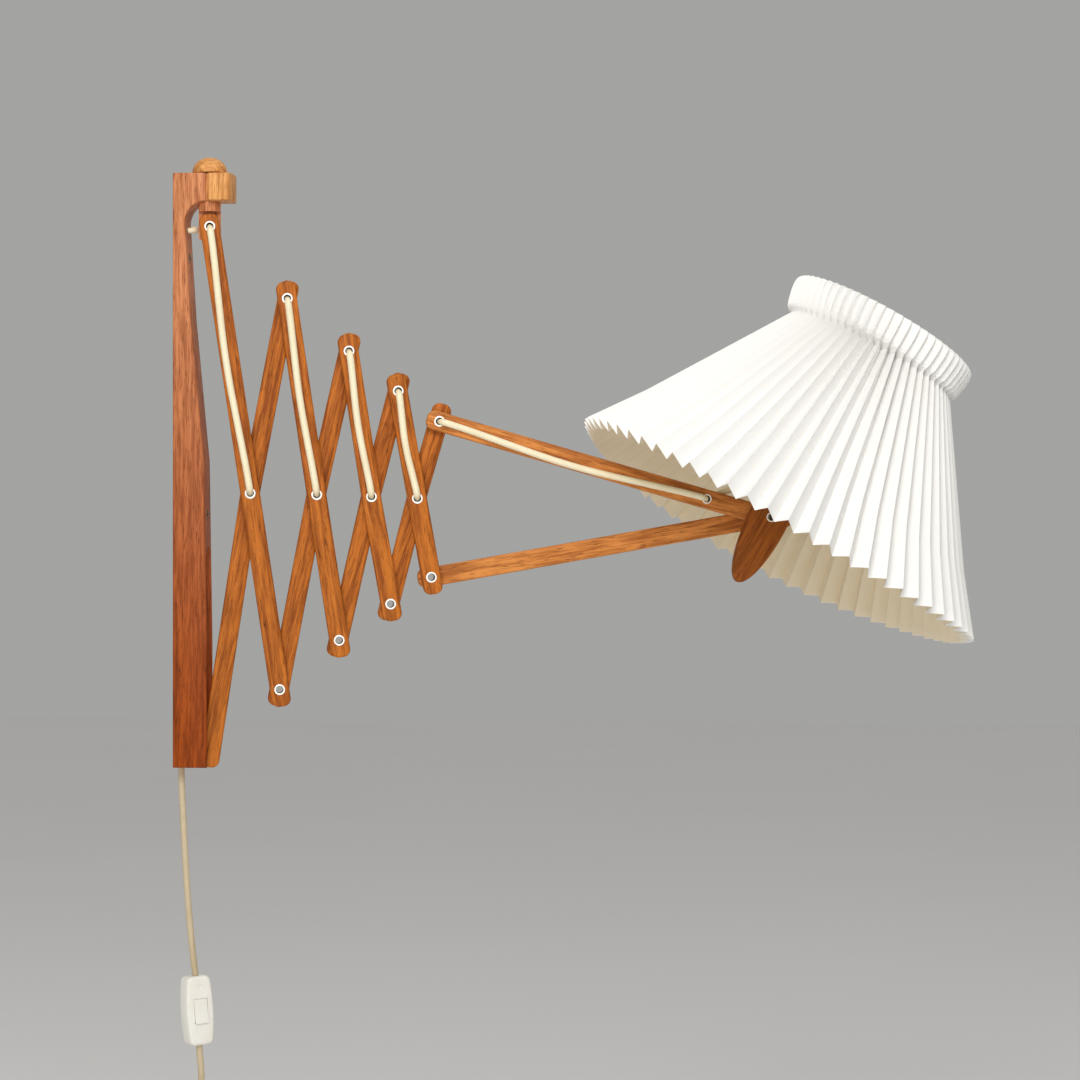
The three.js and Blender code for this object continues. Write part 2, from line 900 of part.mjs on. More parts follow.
function makeBarCords() {
  for (let k = 1; k <= bars; k += 1) {
    const front = overBar(pivots.t[k - 1], pivots.c[k - 1], -1, 0);
    addMesh(swivel, "front_cord_" + k, cordAlong(front, cordRadius, cordSides), ivory);
    const back = overBar(pivots.c[k - 1], pivots.t[k], 1, 0);
    addMesh(swivel, "back_cord_" + k, cordAlong(back, cordRadius, cordSides), ivory);
  }
}

function makeArmCord(upper) {
  const stations = overBar([0, 0], [armLength - eyeletFromEnd, 0], -1, cordSag);
  const last = stations.length - 1;
  stations[last].point.y = rivetRim + layerGap + cordEndGap;
  addMesh(upper, "arm_cord", cordAlong(stations, cordRadius, cordSides), ivory);
}

// From the hole in the board round the post into the bore of the top pivot.
function makeEntryCord() {
  const turn = restSwivel * degree;
  const local = (x, y, z) =>
    at(
      (x - swivelX) * Math.cos(turn) + y * Math.sin(turn),
      -(x - swivelX) * Math.sin(turn) + y * Math.cos(turn),
      z,
    );
  const face = boardFront(entryHeight + boardHeight / 2) + cordEndGap * 2;
  const rise = pivotHeight - entryHeight;
  const stations = bentStations(
    [
      local(face, 0, entryHeight),
      local(face + entryOut, 0, entryHeight + rise / 6),
      at(-entrySide, entryBack, entryHeight + rise * 0.7),
      at(0, entryBack, pivotHeight),
      at(0, cordEndGap, pivotHeight),
    ],
    cordBend,
    3,
  );
  stations[0].tangent = at(Math.cos(turn), -Math.sin(turn), 0);
  addMesh(swivel, "entry_cord", cordAlong(stations, cordRadius, cordSides), ivory);
}

const leadX = leadWallClearance + cordRadius;

function makeChannelLead() {
  const exit = boardFront(entryHeight + boardHeight / 2);
  const stations = bentStations(
    [
      at(leadX, channelOffset, boardBottom + cordEndGap / 2),
      at(leadX, channelOffset, channelTop - channelOffset / 8),
      at(leadX, 0, entryHeight),
      at(exit, 0, entryHeight),
    ],
    cordBend,
    3,
  );
  addMesh(lamp, "channel_lead", cordAlong(stations, cordRadius, cordSides), beige);
}

// Inline switch, turned on the lead; its local +Z runs up the lead and -Y is the rocker side.
function switchShell(fromY, toY, edge) {
  const half = switchWidth / 2;
  const long = switchLength / 2;
  const outline = roundedShape([
    [-half, -long, switchCorner],
    [half, -long, switchCorner],
    [half, long, switchCorner],
    [-half, long, switchCorner],
  ]);
  const shell = slab(outline, toY - fromY, edge);
  shell.translate(0, (fromY + toY) / 2, 0);
  return shell;
}

function switchPlace() {
  return at(leadX - cordRadius + switchX - leadWallClearance, channelOffset, -switchHeight);
}

function makeSwitch() {
  const body = addGroup(lamp, ...switchPlace().toArray());
  body.rotation.order = "YZX";
  body.rotation.y = -switchTilt * degree;
  body.rotation.z = switchTurn * degree;
  const half = switchDepth / 2;
  addMesh(body, "switch_base", switchShell(seatGap / 2, half, switchEdge), whitePlastic);
  const well = box(
    -rockerWidth / 2 - rockerGap,
    rockerWidth / 2 + rockerGap,
    -half - overrun,
    -half + rockerDepth,
    -rockerLength / 2 - rockerGap,
    rockerLength / 2 + rockerGap,
  );
  const cover = cut(switchShell(-half, -seatGap / 2, switchEdge), well);
  addMesh(body, "switch_cover", cover, whitePlastic);
  const rocker = new THREE.Shape();
  const long = rockerLength / 2;
  rocker.moveTo(-long, 0);
  rocker.lineTo(-long, -rockerRise / 2);
  rocker.lineTo(0, -rockerRise / 4);
  rocker.lineTo(long, -rockerRise / 2);
  rocker.lineTo(long, 0);
  rocker.lineTo(0, rockerDepth - rockerGap - rockerRise);
  rocker.closePath();
  const geometry = new THREE.ExtrudeGeometry(rocker, { depth: rockerWidth, bevelEnabled: false });
  geometry.translate(0, 0, -rockerWidth / 2);
  geometry.rotateY(-90 * degree);
  const mesh = addMesh(body, "switch_rocker", geometry, whitePlastic);
  mesh.position.y = -half;
  mesh.rotation.x = rockerTilt * degree;
}

// Ends of the lead at the switch: the middle of its end faces.
function switchEnd(sign) {
  const place = switchPlace();
  const reach = switchLength / 2 + cordEndGap;
  const tilt = switchTilt * degree;
  return place.add(at(-sign * reach * Math.sin(tilt), 0, sign * reach * Math.cos(tilt)));
}

const coilOuterRadius = coilInnerRadius + (coilTurns / 2) * coilPitch;
const coilBackX = leadX + coilWallGap;
const coilFrontX = coilBackX + coilPitch;
const coilCentreY = channelOffset - coilOuterRadius;

function makeFreeLead() {
  const up = switchEnd(1);
  const slope = at(-Math.sin(switchTilt * degree), 0, Math.cos(switchTilt * degree));
  const upper = leadRoute.map(([x, depth]) => at(leadX + x, channelOffset, -depth));
  upper[0].z = boardBottom - cordEndGap / 2;
  upper.push(up);
  const upperStations = curveStations(upper, 14, at(0, 0, -1), slope.clone().negate());
  addMesh(lamp, "lead_upper", cordAlong(upperStations, cordRadius, cordSides), beige);
  const lower = leadRouteLower.map(([x, depth]) => at(leadX + x, channelOffset, -depth));
  const entry = at(coilFrontX, channelOffset, -coilHeight + cordDiameter + cordEndGap);
  lower.unshift(switchEnd(-1));
  lower.push(entry);
  const lowerStations = curveStations(lower, 10, slope.clone().negate(), at(0, 0, -1));
  addMesh(lamp, "lead_lower", cordAlong(lowerStations, cordRadius, cordSides), beige);
}

// The coil spirals in, climbs a layer in the half turn where it reverses, and spirals out.
function coilPoint(turn) {
  const middle = coilTurns / 2;
  const radius = coilInnerRadius + coilPitch * Math.abs(turn - middle);
  const rise = THREE.MathUtils.smoothstep(turn, middle - 0.25, middle + 0.25);
  const angle = -2 * Math.PI * turn;
  return at(
    coilFrontX + (coilBackX - coilFrontX) * rise,
    coilCentreY + radius * Math.cos(angle),
    -coilHeight + radius * Math.sin(angle),
  );
}

function coilPoints(stepsPerTurn) {
  const points = [at(coilFrontX, channelOffset, -coilHeight + cordDiameter)];
  const count = coilTurns * stepsPerTurn;
  for (let k = 0; k <= count; k += 1) points.push(coilPoint(k / stepsPerTurn));
  const plugX = plugThickness / 2 + seatGap;
  points.push(at(coilBackX, channelOffset, -coilHeight - cordDiameter * 1.5));
  points.push(at((coilBackX + plugX) / 2, channelOffset, -coilHeight - cordDiameter * 2.75));
  points.push(at(plugX, channelOffset, -coilHeight - cordDiameter * 4));
  points.push(at(plugX, channelOffset, -coilHeight - plugDrop));
  return points;
}

function leastCoilGap(points, stepsPerTurn) {
  let least = Infinity;
  const apart = stepsPerTurn / 2;
  for (let i = 0; i < points.length; i += 1) {
    for (let j = i + apart; j < points.length - 1; j += 1) {
      const span = new THREE.Line3(points[j], points[j + 1]);
      const near = span.closestPointToPoint(points[i], true, new THREE.Vector3());
      least = Math.min(least, near.distanceTo(points[i]) - cordDiameter);
    }
  }
  return least;
}

function tubeThrough(points, radius, sides) {
  const position = [];
  const index = [];
  const tangents = points.map((point, i) => {
    const before = points[Math.max(i - 1, 0)];
    const after = points[Math.min(i + 1, points.length - 1)];
    return after.clone().sub(before).normalize();
  });
  points.forEach((point, i) => {
    const side = at(1, 0, 0).addScaledVector(tangents[i], -tangents[i].x).normalize();
    const other = tangents[i].clone().cross(side);
    for (let k = 0; k < sides; k += 1) {
      const angle = (2 * Math.PI * (k + 0.5)) / sides;
      const place = point
        .clone()
        .addScaledVector(side, radius * Math.cos(angle))
        .addScaledVector(other, radius * Math.sin(angle));
      position.push(place.x, place.y, place.z);
    }
  });
  for (let i = 0; i < points.length - 1; i += 1) {
    for (let k = 0; k < sides; k += 1) {
      const next = (k + 1) % sides;
      const a = i * sides + k;
      const b = i * sides + next;
      index.push(a, b, b + sides, a, b + sides, a + sides);
    }
  }
  for (let k = 1; k < sides - 1; k += 1) {
    const end = (points.length - 1) * sides;
    index.push(0, k + 1, k, end, end + k, end + k + 1);
  }
  const geometry = new THREE.BufferGeometry();
  geometry.setAttribute("position", new THREE.Float32BufferAttribute(position, 3));
  geometry.setIndex(index);
  geometry.computeVertexNormals();
  return geometry;
}

function makeCoil() {
  const stepsPerTurn = 24;
  const points = coilPoints(stepsPerTurn);
  const gap = leastCoilGap(points, stepsPerTurn);
  console.log("lead_coil least gap to itself " + gap.toFixed(3) + " mm");
  addMesh(lamp, "lead_coil", tubeThrough(points, cordRadius, 6), beige);
}

function makeTie() {
  const inner = coilInnerRadius - cordRadius - tieGap;
  const outer = coilOuterRadius + cordRadius + tieGap;
  const back = coilBackX - cordRadius - tieGap;
  const front = coilFrontX + cordRadius + tieGap;
  const low = -coilHeight - tieWidth / 2;
  const high = low + tieWidth;
  const y = coilCentreY;
  const band = box(back - tieWall, front + tieWall, y + inner - tieWall, y + outer + tieWall, low, high);
  const inside = box(back, front, y + inner, y + outer, low - overrun, high + overrun);
  addMesh(lamp, "coil_tie", cut(band, inside), whitePlastic);
}

function makePlug() {
  const top = -coilHeight - plugDrop - cordEndGap;
  const plug = addGroup(lamp, plugThickness / 2 + seatGap, channelOffset, top);
  const relief = turned(
    [
      [0, -reliefLength - overrun],
      [reliefRadius, -reliefLength - overrun],
      [reliefRadius, -reliefLength],
      [cordRadius + seatGap * 2, 0],
      [0, 0],
    ],
    rivetSides,
  );
  const outline = roundedShape([
    [-plugNeck / 2, -reliefLength, plugEdge * 2],
    [-plugWidth / 2, -reliefLength - plugLength / 3, plugEdge * 2],
    [-plugWidth / 2, -reliefLength - plugLength, plugEdge * 2],
    [plugWidth / 2, -reliefLength - plugLength, plugEdge * 2],
    [plugWidth / 2, -reliefLength - plugLength / 3, plugEdge * 2],
    [plugNeck / 2, -reliefLength, plugEdge * 2],
  ]);
  const block = slab(outline, plugThickness, plugEdge);
  const body = join(block, relief);
  body.rotateZ(90 * degree);
  addMesh(plug, "plug_body", body, whitePlastic);
  const face = -reliefLength - plugLength;
  [-1, 1].forEach((side, i) => {
    const pin = turned(
      [
        [0, face - seatGap - pinLength],
        [pinRadius / 2, face - seatGap - pinLength],
        [pinRadius, face - seatGap - pinLength + pinRadius],
        [pinRadius, face - seatGap],
        [0, face - seatGap],
      ],
      rivetSides,
    );
    const mesh = addMesh(plug, "plug_pin_" + (i + 1), pin, capMetal);
    mesh.position.y = (side * pinSpacing) / 2;
  });
}

// Lamp head: a group at the end pivot whose +Z is the shade's axis.
const head = addGroup(swivel, pivots.end[0], 0, pivots.end[1]);
head.rotation.y = headTilt * degree;

function leafOutline() {
  const shape = new THREE.Shape();
  const left = leafShift - leafHalfWidth;
  const right = leafShift + leafHalfWidth;
  const arcSteps = 10;
  shape.moveTo(left, 0);
  for (let k = 1; k < arcSteps; k += 1) {
    const angle = 180 * degree + (180 * degree * k) / arcSteps;
    shape.lineTo(leafShift + leafHalfWidth * Math.cos(angle), leafLength * Math.sin(angle));
  }
  const webRight = shadeOffset + holderRadius + webMargin;
  shape.lineTo(right, 0);
  shape.lineTo(webRight, webAbove);
  shape.lineTo(webRight, leafTop);
  shape.lineTo(left, leafTop);
  shape.closePath();
  return shape;
}

function makeHolder() {
  const inside = layer + seatGap;
  const body = slab(leafOutline(), 2 * (inside + cheekThickness), leafEdge);
  const slot = box(
    -leafLength - overrun,
    leafLength + overrun,
    -inside,
    inside,
    -leafLength - overrun,
    webAbove,
  );
  const hole = rodY(
    smallRivetOuter + turnGap,
    -inside - cheekThickness - overrun,
    inside + cheekThickness + overrun,
    rivetSides,
  );
  const rear = inside + cheekThickness + overrun;
  const reach = leafLength + overrun;
  const under = box(-reach, reach, inside, rear, -reach, -rearCheekDrop);
  const beside = box(-reach, leafShift - rearCheekSide, inside, rear, -reach, webAbove);
  addMesh(head, "shade_holder", cut(body, slot, hole, under, beside), wood);
}

const holderBase = leafTop + seatGap;
const holderTop = holderBase + holderLength;

function makeLampholder() {
  const body = turned(
    [
      [0, 0],
      [holderRadius, 0],
      [holderRadius, holderLength],
      [capRadius + 2 * seatGap, holderLength],
      [capRadius + 2 * seatGap, holderLip],
      [0, holderLip],
    ],
    roundSides,
  );
  const mesh = addMesh(head, "lampholder_body", body, whitePlastic);
  mesh.position.set(shadeOffset, 0, holderBase);
  const inner = holderRadius + seatGap;
  const ring = turned(
    [
      [inner, 0],
      [ringRadius, 0],
      [ringRadius, ringThickness],
      [inner, ringThickness],
      [inner, 0],
    ],
    roundSides,
  );
  const ringMesh = addMesh(head, "lampholder_ring", ring, whitePlastic);
  ringMesh.position.set(shadeOffset, 0, holderTop - ringFromTop);
}

function makeBulb() {
  const base = holderBase + holderLip + seatGap;
  const cap = turned(
    [
      [0, 0],
      [capRadius / 2, 0],
      [capRadius, capRadius / 4],
      [capRadius, capLength],
      [0, capLength],
    ],
    roundSides,
  );
  addMesh(head, "bulb_cap", cap, capMetal).position.set(shadeOffset, 0, base);
  const neck = capLength + seatGap;
  const centre = bulbLength - bulbRadius;
  const profile = [
    [0, neck],
    [capNeck, neck],
    [capNeck, neck + holderWall * 3],
  ];
  const arcSteps = 9;
  for (let k = 0; k < arcSteps; k += 1) {
    const angle = (bulbShoulder + ((90 - bulbShoulder) * k) / arcSteps) * degree;
    profile.push([bulbRadius * Math.cos(angle), neck + centre + bulbRadius * Math.sin(angle)]);
  }
  profile.push([0, neck + centre + bulbRadius]);
  addMesh(head, "bulb", turned(profile, roundSides), bulbGlass).position.set(shadeOffset, 0, base);
}

// Levels of the pleated wall: height, outer radius, fold depth, fold step, sideways shift and
// the share of the rim's warp that the level takes.
function shadeLevels() {
  const middleShare = 0.5;
  const between = (low, high) => low + (high - low) * middleShare;
  return [
    [rimHeight, rimRadius, rimDepth, rimStep, rimShift, 1],
    [
      between(rimHeight, neckHeight),
      between(rimRadius, neckRadius),
      between(rimDepth, neckDepth),
      0,
      rimShift * middleShare,
      middleShare,
    ],
    [neckHeight, neckRadius, neckDepth, 0, 0, 0],
    [collarLow, collarRadius, collarDepth, 0, 0, 0],
    [collarHigh, collarRadius, collarDepth, 0, collarShift, 0],
  ];
}

// How far inward a fold's inner side lies, so that its steep flanks keep the paper's thickness.
function paperInset(radius, depth) {
  const halfPitch = (Math.PI * (radius - depth / 2)) / pleats;
  return paperThickness * Math.hypot(1, depth / halfPitch);
}

function makeShade() {
  const levels = shadeLevels();
  const columns = 2 * pleats;
  const position = [];
  const index = [];
  const surface = (side) =>
    levels.forEach(([height, radius, depth, step, shift, warpShare]) => {
      const inset = side * paperInset(radius, depth);
      for (let k = 0; k < columns; k += 1) {
        const inner = k % 2;
        const angle = (2 * Math.PI * k) / columns + pleatPhase * degree;
        const r = radius - inner * depth - inset;
        const slope = -radius * Math.sin(angle) * Math.sin(rimLean * degree);
        const warp = (rimWarp * Math.cos(2 * angle) + slope) * warpShare;
        const level = height + (inner ? 0 : step) + warp;
        position.push(shift + r * Math.cos(angle), r * Math.sin(angle), level);
      }
    });
  surface(0);
  surface(1);
  const rows = levels.length;
  const id = (side, row, k) => (side * rows + row) * columns + (k % columns);
  const quad = (a, b, c, d) => index.push(a, b, c, a, c, d);
  for (let k = 0; k < columns; k += 1) {
    for (let row = 0; row < rows - 1; row += 1) {
      quad(id(0, row, k), id(0, row, k + 1), id(0, row + 1, k + 1), id(0, row + 1, k));
      quad(id(1, row, k), id(1, row + 1, k), id(1, row + 1, k + 1), id(1, row, k + 1));
    }
    quad(id(0, 0, k + 1), id(0, 0, k), id(1, 0, k), id(1, 0, k + 1));
    const top = rows - 1;
    quad(id(0, top, k), id(0, top, k + 1), id(1, top, k + 1), id(1, top, k));
  }
  const geometry = new THREE.BufferGeometry();
  geometry.setAttribute("position", new THREE.Float32BufferAttribute(position, 3));
  geometry.setIndex(index);
  geometry.computeVertexNormals();
  addMesh(head, "shade", geometry, paper).position.x = shadeOffset;
}

// Inner radius of the shade's folds at a height.
function shadeInside(height) {
  const share = (height - rimHeight) / (neckHeight - rimHeight);
  const outer = rimRadius + (neckRadius - rimRadius) * share;
  const depth = rimDepth + (neckDepth - rimDepth) * share;
  return outer - depth - paperInset(outer, depth);
}

// A hub on the lampholder's ring, with arms up to a wire ring inside the neck.
function makeCarrier() {
  const low = holderTop - ringFromTop + ringThickness + seatGap;
  const inner = holderRadius + seatGap;
  const hub = turned(
    [
      [inner, low],
      [ringRadius, low],
      [ringRadius, low + carrierWire],
      [inner, low + carrierWire],
      [inner, low],
    ],
    roundSides,
  );
  const outer = shadeInside(carrierHeight + carrierWire) - carrierGap;
  const band = turned(
    [
      [outer - carrierWire, carrierHeight],
      [outer, carrierHeight],
      [outer, carrierHeight + carrierWire],
      [outer - carrierWire, carrierHeight + carrierWire],
      [outer - carrierWire, carrierHeight],
    ],
    roundSides * 2,
  );
  const half = carrierWire / 2;
  const arms = [];
  for (let k = 0; k < carrierArms; k += 1) {
    const angle = (360 / carrierArms) * k * degree + 90 * degree;
    const from = at(ringRadius - half * 2, 0, low + half);
    const middle = at(bulbRadius + cordDiameter * 2, 0, low + half);
    const to = at(outer - half, 0, carrierHeight + half);
    const path = bentStations([from, middle, to], cordDiameter, 2);
    const arm = cordAlong(path, half, 6);
    arm.rotateZ(angle);
    arms.push(arm);
  }
  addMesh(head, "shade_carrier", join(hub, band, ...arms), whitePlastic).position.x = shadeOffset;
}

// From behind the arm's eyelet up beside the holder into the lampholder.
function makeSocketCord() {
  const angle = armAngle(pivots.t[bars]);
  const tilt = headTilt * degree;
  const x = pivots.end[0] - eyeletFromEnd * Math.cos(angle) - pivots.end[0];
  const z = -eyeletFromEnd * Math.sin(angle);
  const eye = at(
    x * Math.cos(tilt) - z * Math.sin(tilt),
    0,
    x * Math.sin(tilt) + z * Math.cos(tilt),
  );
  const start = rivetRim + layerGap + cordEndGap * 2;
  const run = start + cordBend + cordRadius / 2;
  const side = leafShift - leafHalfWidth - cordDiameter;
  const up = holderBase + cordDiameter * 2;
  const stations = bentStations(
    [
      at(eye.x, start, eye.z),
      at(eye.x, run, eye.z),
      at(side - cordBend, run, eye.z + (up - eye.z) * socketRiseShare),
      at(side, run / 2, up),
      at(shadeOffset - holderRadius - seatGap, 0, up),
    ],
    cordBend * socketBendShare,
    3,
  );
  stations[0].tangent = at(0, 1, 0);
  stations[stations.length - 1].tangent = at(1, 0, 0);
  addMesh(head, "socket_cord", cordAlong(stations, cordRadius, cordSides), ivory);
}

makeBoard();
makeNose();
makeScrew("wall_screw_upper", upperScrewHeight);
makeScrew("wall_screw_lower", lowerScrewHeight);
makeChannelLead();
makeFreeLead();
makeSwitch();
makeCoil();
makeTie();
makePlug();
makePost();
makeKnob();
makeEntryCord();
for (let k = 1; k <= bars; k += 1) {
  makeFrontBar(k);
  makeBackBar(k);
}
makeArms();
for (let k = 0; k <= bars; k += 1) addRivet("rivet_t" + k, pivots.t[k]);
for (let k = 0; k < bars; k += 1) addRivet("rivet_c" + k, pivots.c[k]);
for (let k = 1; k <= bars; k += 1) addRivet("rivet_b" + k, pivots.b[k]);
makeBarCords();
makeHolder();
makeLampholder();
makeBulb();
makeShade();
makeCarrier();
makeSocketCord();

export default lamp;
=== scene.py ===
"""An accordion wall lamp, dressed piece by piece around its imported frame.

The lamp hangs from its wall board: a swivelling post carries a scissor of crossed wooden bars,
two long arms reach out to a tilting holder, and a pleated shade stands on the lampholder.
Sizes are in millimetres inside the classes and in metres in Blender.
"""

import logging
import math
from dataclasses import dataclass, field
from enum import Enum
from math import cos, pi, sin
from typing import Any, Callable, Iterable, Optional, Sequence

import bmesh
import bpy
from bpy.types import Material, Mesh, Object
from mathutils import Matrix, Vector

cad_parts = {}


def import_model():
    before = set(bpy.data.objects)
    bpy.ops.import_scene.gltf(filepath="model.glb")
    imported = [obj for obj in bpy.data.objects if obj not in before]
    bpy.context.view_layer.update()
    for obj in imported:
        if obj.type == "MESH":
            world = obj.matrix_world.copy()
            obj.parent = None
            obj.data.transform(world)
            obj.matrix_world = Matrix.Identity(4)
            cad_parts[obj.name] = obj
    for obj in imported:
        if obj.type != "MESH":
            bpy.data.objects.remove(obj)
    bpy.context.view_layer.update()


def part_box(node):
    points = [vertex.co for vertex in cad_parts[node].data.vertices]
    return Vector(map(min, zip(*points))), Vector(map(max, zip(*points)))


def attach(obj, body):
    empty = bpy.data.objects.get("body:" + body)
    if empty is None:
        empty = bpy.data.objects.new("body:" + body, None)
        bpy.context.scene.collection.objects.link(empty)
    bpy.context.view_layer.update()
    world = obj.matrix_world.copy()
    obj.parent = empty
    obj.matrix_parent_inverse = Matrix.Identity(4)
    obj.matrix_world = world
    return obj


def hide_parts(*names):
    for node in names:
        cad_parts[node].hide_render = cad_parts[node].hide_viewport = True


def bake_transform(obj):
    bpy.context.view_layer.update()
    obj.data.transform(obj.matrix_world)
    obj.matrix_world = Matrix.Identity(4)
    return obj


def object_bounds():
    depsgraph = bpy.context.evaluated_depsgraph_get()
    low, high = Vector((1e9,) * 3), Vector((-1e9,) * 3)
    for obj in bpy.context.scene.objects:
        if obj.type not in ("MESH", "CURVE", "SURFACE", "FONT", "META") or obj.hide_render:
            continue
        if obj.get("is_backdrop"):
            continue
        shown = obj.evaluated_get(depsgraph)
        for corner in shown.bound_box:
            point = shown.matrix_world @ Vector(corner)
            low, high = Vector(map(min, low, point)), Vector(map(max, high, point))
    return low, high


log = logging.getLogger("lamp")

MM = 0.001
PAST = 3.0  # how far a cutter reaches beyond what it cuts, in millimetres
Point = tuple[float, float, float]
Pair = tuple[float, float]


class Along(Enum):
    """The direction in which the grain of a wooden piece runs, in the piece's own axes."""

    X = (0, 1, 2)
    Z = (2, 0, 1)


class Part(Enum):
    """How a cutter meets a body."""

    REMOVE = "DIFFERENCE"
    ADD = "UNION"


class Side(Enum):
    """The layer of the scissor in which something lies, and its direction along Y."""

    FRONT = -1
    BACK = 1


class Fold(Enum):
    """What a column of points is in the pleats of the shade."""

    OUTER = "outer"
    FLANK = "flank"
    INNER = "inner"


# ---------- shader maths


class Signal:
    """A value that flows through a material: a socket, with arithmetic."""

    def __init__(self, recipe: "Recipe", socket: Any) -> None:
        """Keeps the socket and the recipe that it belongs to."""
        self.recipe = recipe
        self.socket = socket

    def _maths(self, operation: str, first: Any, second: Any) -> "Signal":
        """Adds one Math node and returns its result."""
        node = self.recipe.node("ShaderNodeMath", {"operation": operation}, {0: first, 1: second})
        return node["Value"]

    def __add__(self, other: Any) -> "Signal":
        """Sum."""
        return self._maths("ADD", self, other)

    def __radd__(self, other: Any) -> "Signal":
        """Reflected sum."""
        return self._maths("ADD", other, self)

    def __sub__(self, other: Any) -> "Signal":
        """Difference."""
        return self._maths("SUBTRACT", self, other)

    def __rsub__(self, other: Any) -> "Signal":
        """Reflected difference."""
        return self._maths("SUBTRACT", other, self)

    def __mul__(self, other: Any) -> "Signal":
        """Product."""
        return self._maths("MULTIPLY", self, other)

    def __rmul__(self, other: Any) -> "Signal":
        """Reflected product."""
        return self._maths("MULTIPLY", other, self)

    def __pow__(self, other: Any) -> "Signal":
        """Power."""
        return self._maths("POWER", self, other)

    def __rpow__(self, other: Any) -> "Signal":
        """Reflected power."""
        return self._maths("POWER", other, self)

    def between(self, low: float, high: float) -> "Signal":
        """A smooth step from 0 at low to 1 at high.

        Args:
            low: The value at which the step starts.
            high: The value at which it ends.

        Returns:
            The stepped value, from 0 to 1.
        """
        settings = {"interpolation_type": "SMOOTHSTEP", "clamp": True}
        values = {"Value": self, "From Min": low, "From Max": high, "To Min": 0.0, "To Max": 1.0}
        return self.recipe.node("ShaderNodeMapRange", settings, values)["Result"]


def socket_of(sockets: Any, key: Any) -> Any:
    """The socket of a node by place, identifier or name."""
    if isinstance(key, int):
        return sockets[key]
    for socket in sockets:
        if socket.identifier == key or (socket.name == key and socket.enabled):
            return socket
    raise KeyError(key)


class Step:
    """A node of a recipe, whose outputs are read by name."""

    def __init__(self, recipe: "Recipe", node: Any) -> None:
        """Keeps the node."""
        self.recipe = recipe
        self.node = node

    def __getitem__(self, name: str) -> Signal:
        """The output of that name or identifier."""
        return Signal(self.recipe, socket_of(self.node.outputs, name))


class Recipe:
    """The node tree of a material or of the surroundings, written as expressions."""

    def __init__(self, owner: Any) -> None:
        """Empties the node tree of a new material or world."""
        owner.use_nodes = True
        self.owner = owner
        self.tree = owner.node_tree
        self.tree.nodes.clear()

    @classmethod
    def named(cls, name: str) -> "Recipe":
        """The empty recipe of a new material of that name."""
        return cls(bpy.data.materials.new(name))

    def node(self, kind: str, settings: dict[str, Any], values: dict[Any, Any]) -> Step:
        """Adds a node.

        Args:
            kind: The node's type.
            settings: The node's own properties.
            values: What each input holds, by name, identifier or place: a number or a signal.

        Returns:
            The node, whose outputs can be read.
        """
        made = self.tree.nodes.new(kind)
        for key, value in settings.items():
            setattr(made, key, value)
        for key, value in values.items():
            socket = socket_of(made.inputs, key)
            if isinstance(value, Signal):
                self.tree.links.new(value.socket, socket)
            else:
                socket.default_value = value
        return Step(self, made)

    def blend(self, first: Any, second: Any, factor: Any) -> Signal:
        """A colour between two colours.

        Args:
            first: The colour at factor 0.
            second: The colour at factor 1.
            factor: The share of the second colour.

        Returns:
            The mixed colour.
        """
        first, second = (c if isinstance(c, Signal) else (*c, 1.0) for c in (first, second))
        values = {"Factor_Float": factor, "A_Color": first, "B_Color": second}
        return self.node("ShaderNodeMix", {"data_type": "RGBA"}, values)["Result_Color"]

    def vector(self, operation: str, values: dict[Any, Any]) -> Signal:
        """The result of a Vector Math node."""
        return self.node("ShaderNodeVectorMath", {"operation": operation}, values)["Vector"]

    def noise(self, vector: Signal, scale: Point, detail: float) -> Signal:
        """Noise over a vector whose axes are each scaled, from 0 to 1."""
        stretched = self.vector("MULTIPLY", {0: vector, 1: scale})
        values = {"Vector": stretched, "Scale": 1.0, "Detail": detail}
        return self.node("ShaderNodeTexNoise", {}, values)["Fac"]

    def place(self) -> Signal:
        """The place on the surface, in metres, which stays with the piece."""
        return self.node("ShaderNodeTexCoord", {}, {})["Object"]

    def stored(self, name: str, output: str) -> Signal:
        """What the mesh stores under a name: its "Vector" or its "Fac"."""
        return self.node("ShaderNodeAttribute", {"attribute_name": name}, {})[output]

    def bump(self, height: Signal, depth: float, strength: float = 1.0) -> Signal:
        """A normal that follows a height of the given depth in metres."""
        values = {"Height": height, "Distance": depth, "Strength": strength}
        return self.node("ShaderNodeBump", {}, values)["Normal"]

    def finish(self, colour: Signal, rough: Any, others: dict[str, Any]) -> Material:
        """Ends a material's recipe with its surface.

        Args:
            colour: The base colour.
            rough: The roughness.
            others: What the surface's other inputs hold, by name.

        Returns:
            The finished material.
        """
        values = {"Base Color": colour, "Roughness": rough, **others}
        surface = self.node("ShaderNodeBsdfPrincipled", {}, values)["BSDF"]
        self.node("ShaderNodeOutputMaterial", {}, {"Surface": surface})
        return self.owner


# ---------- finishes


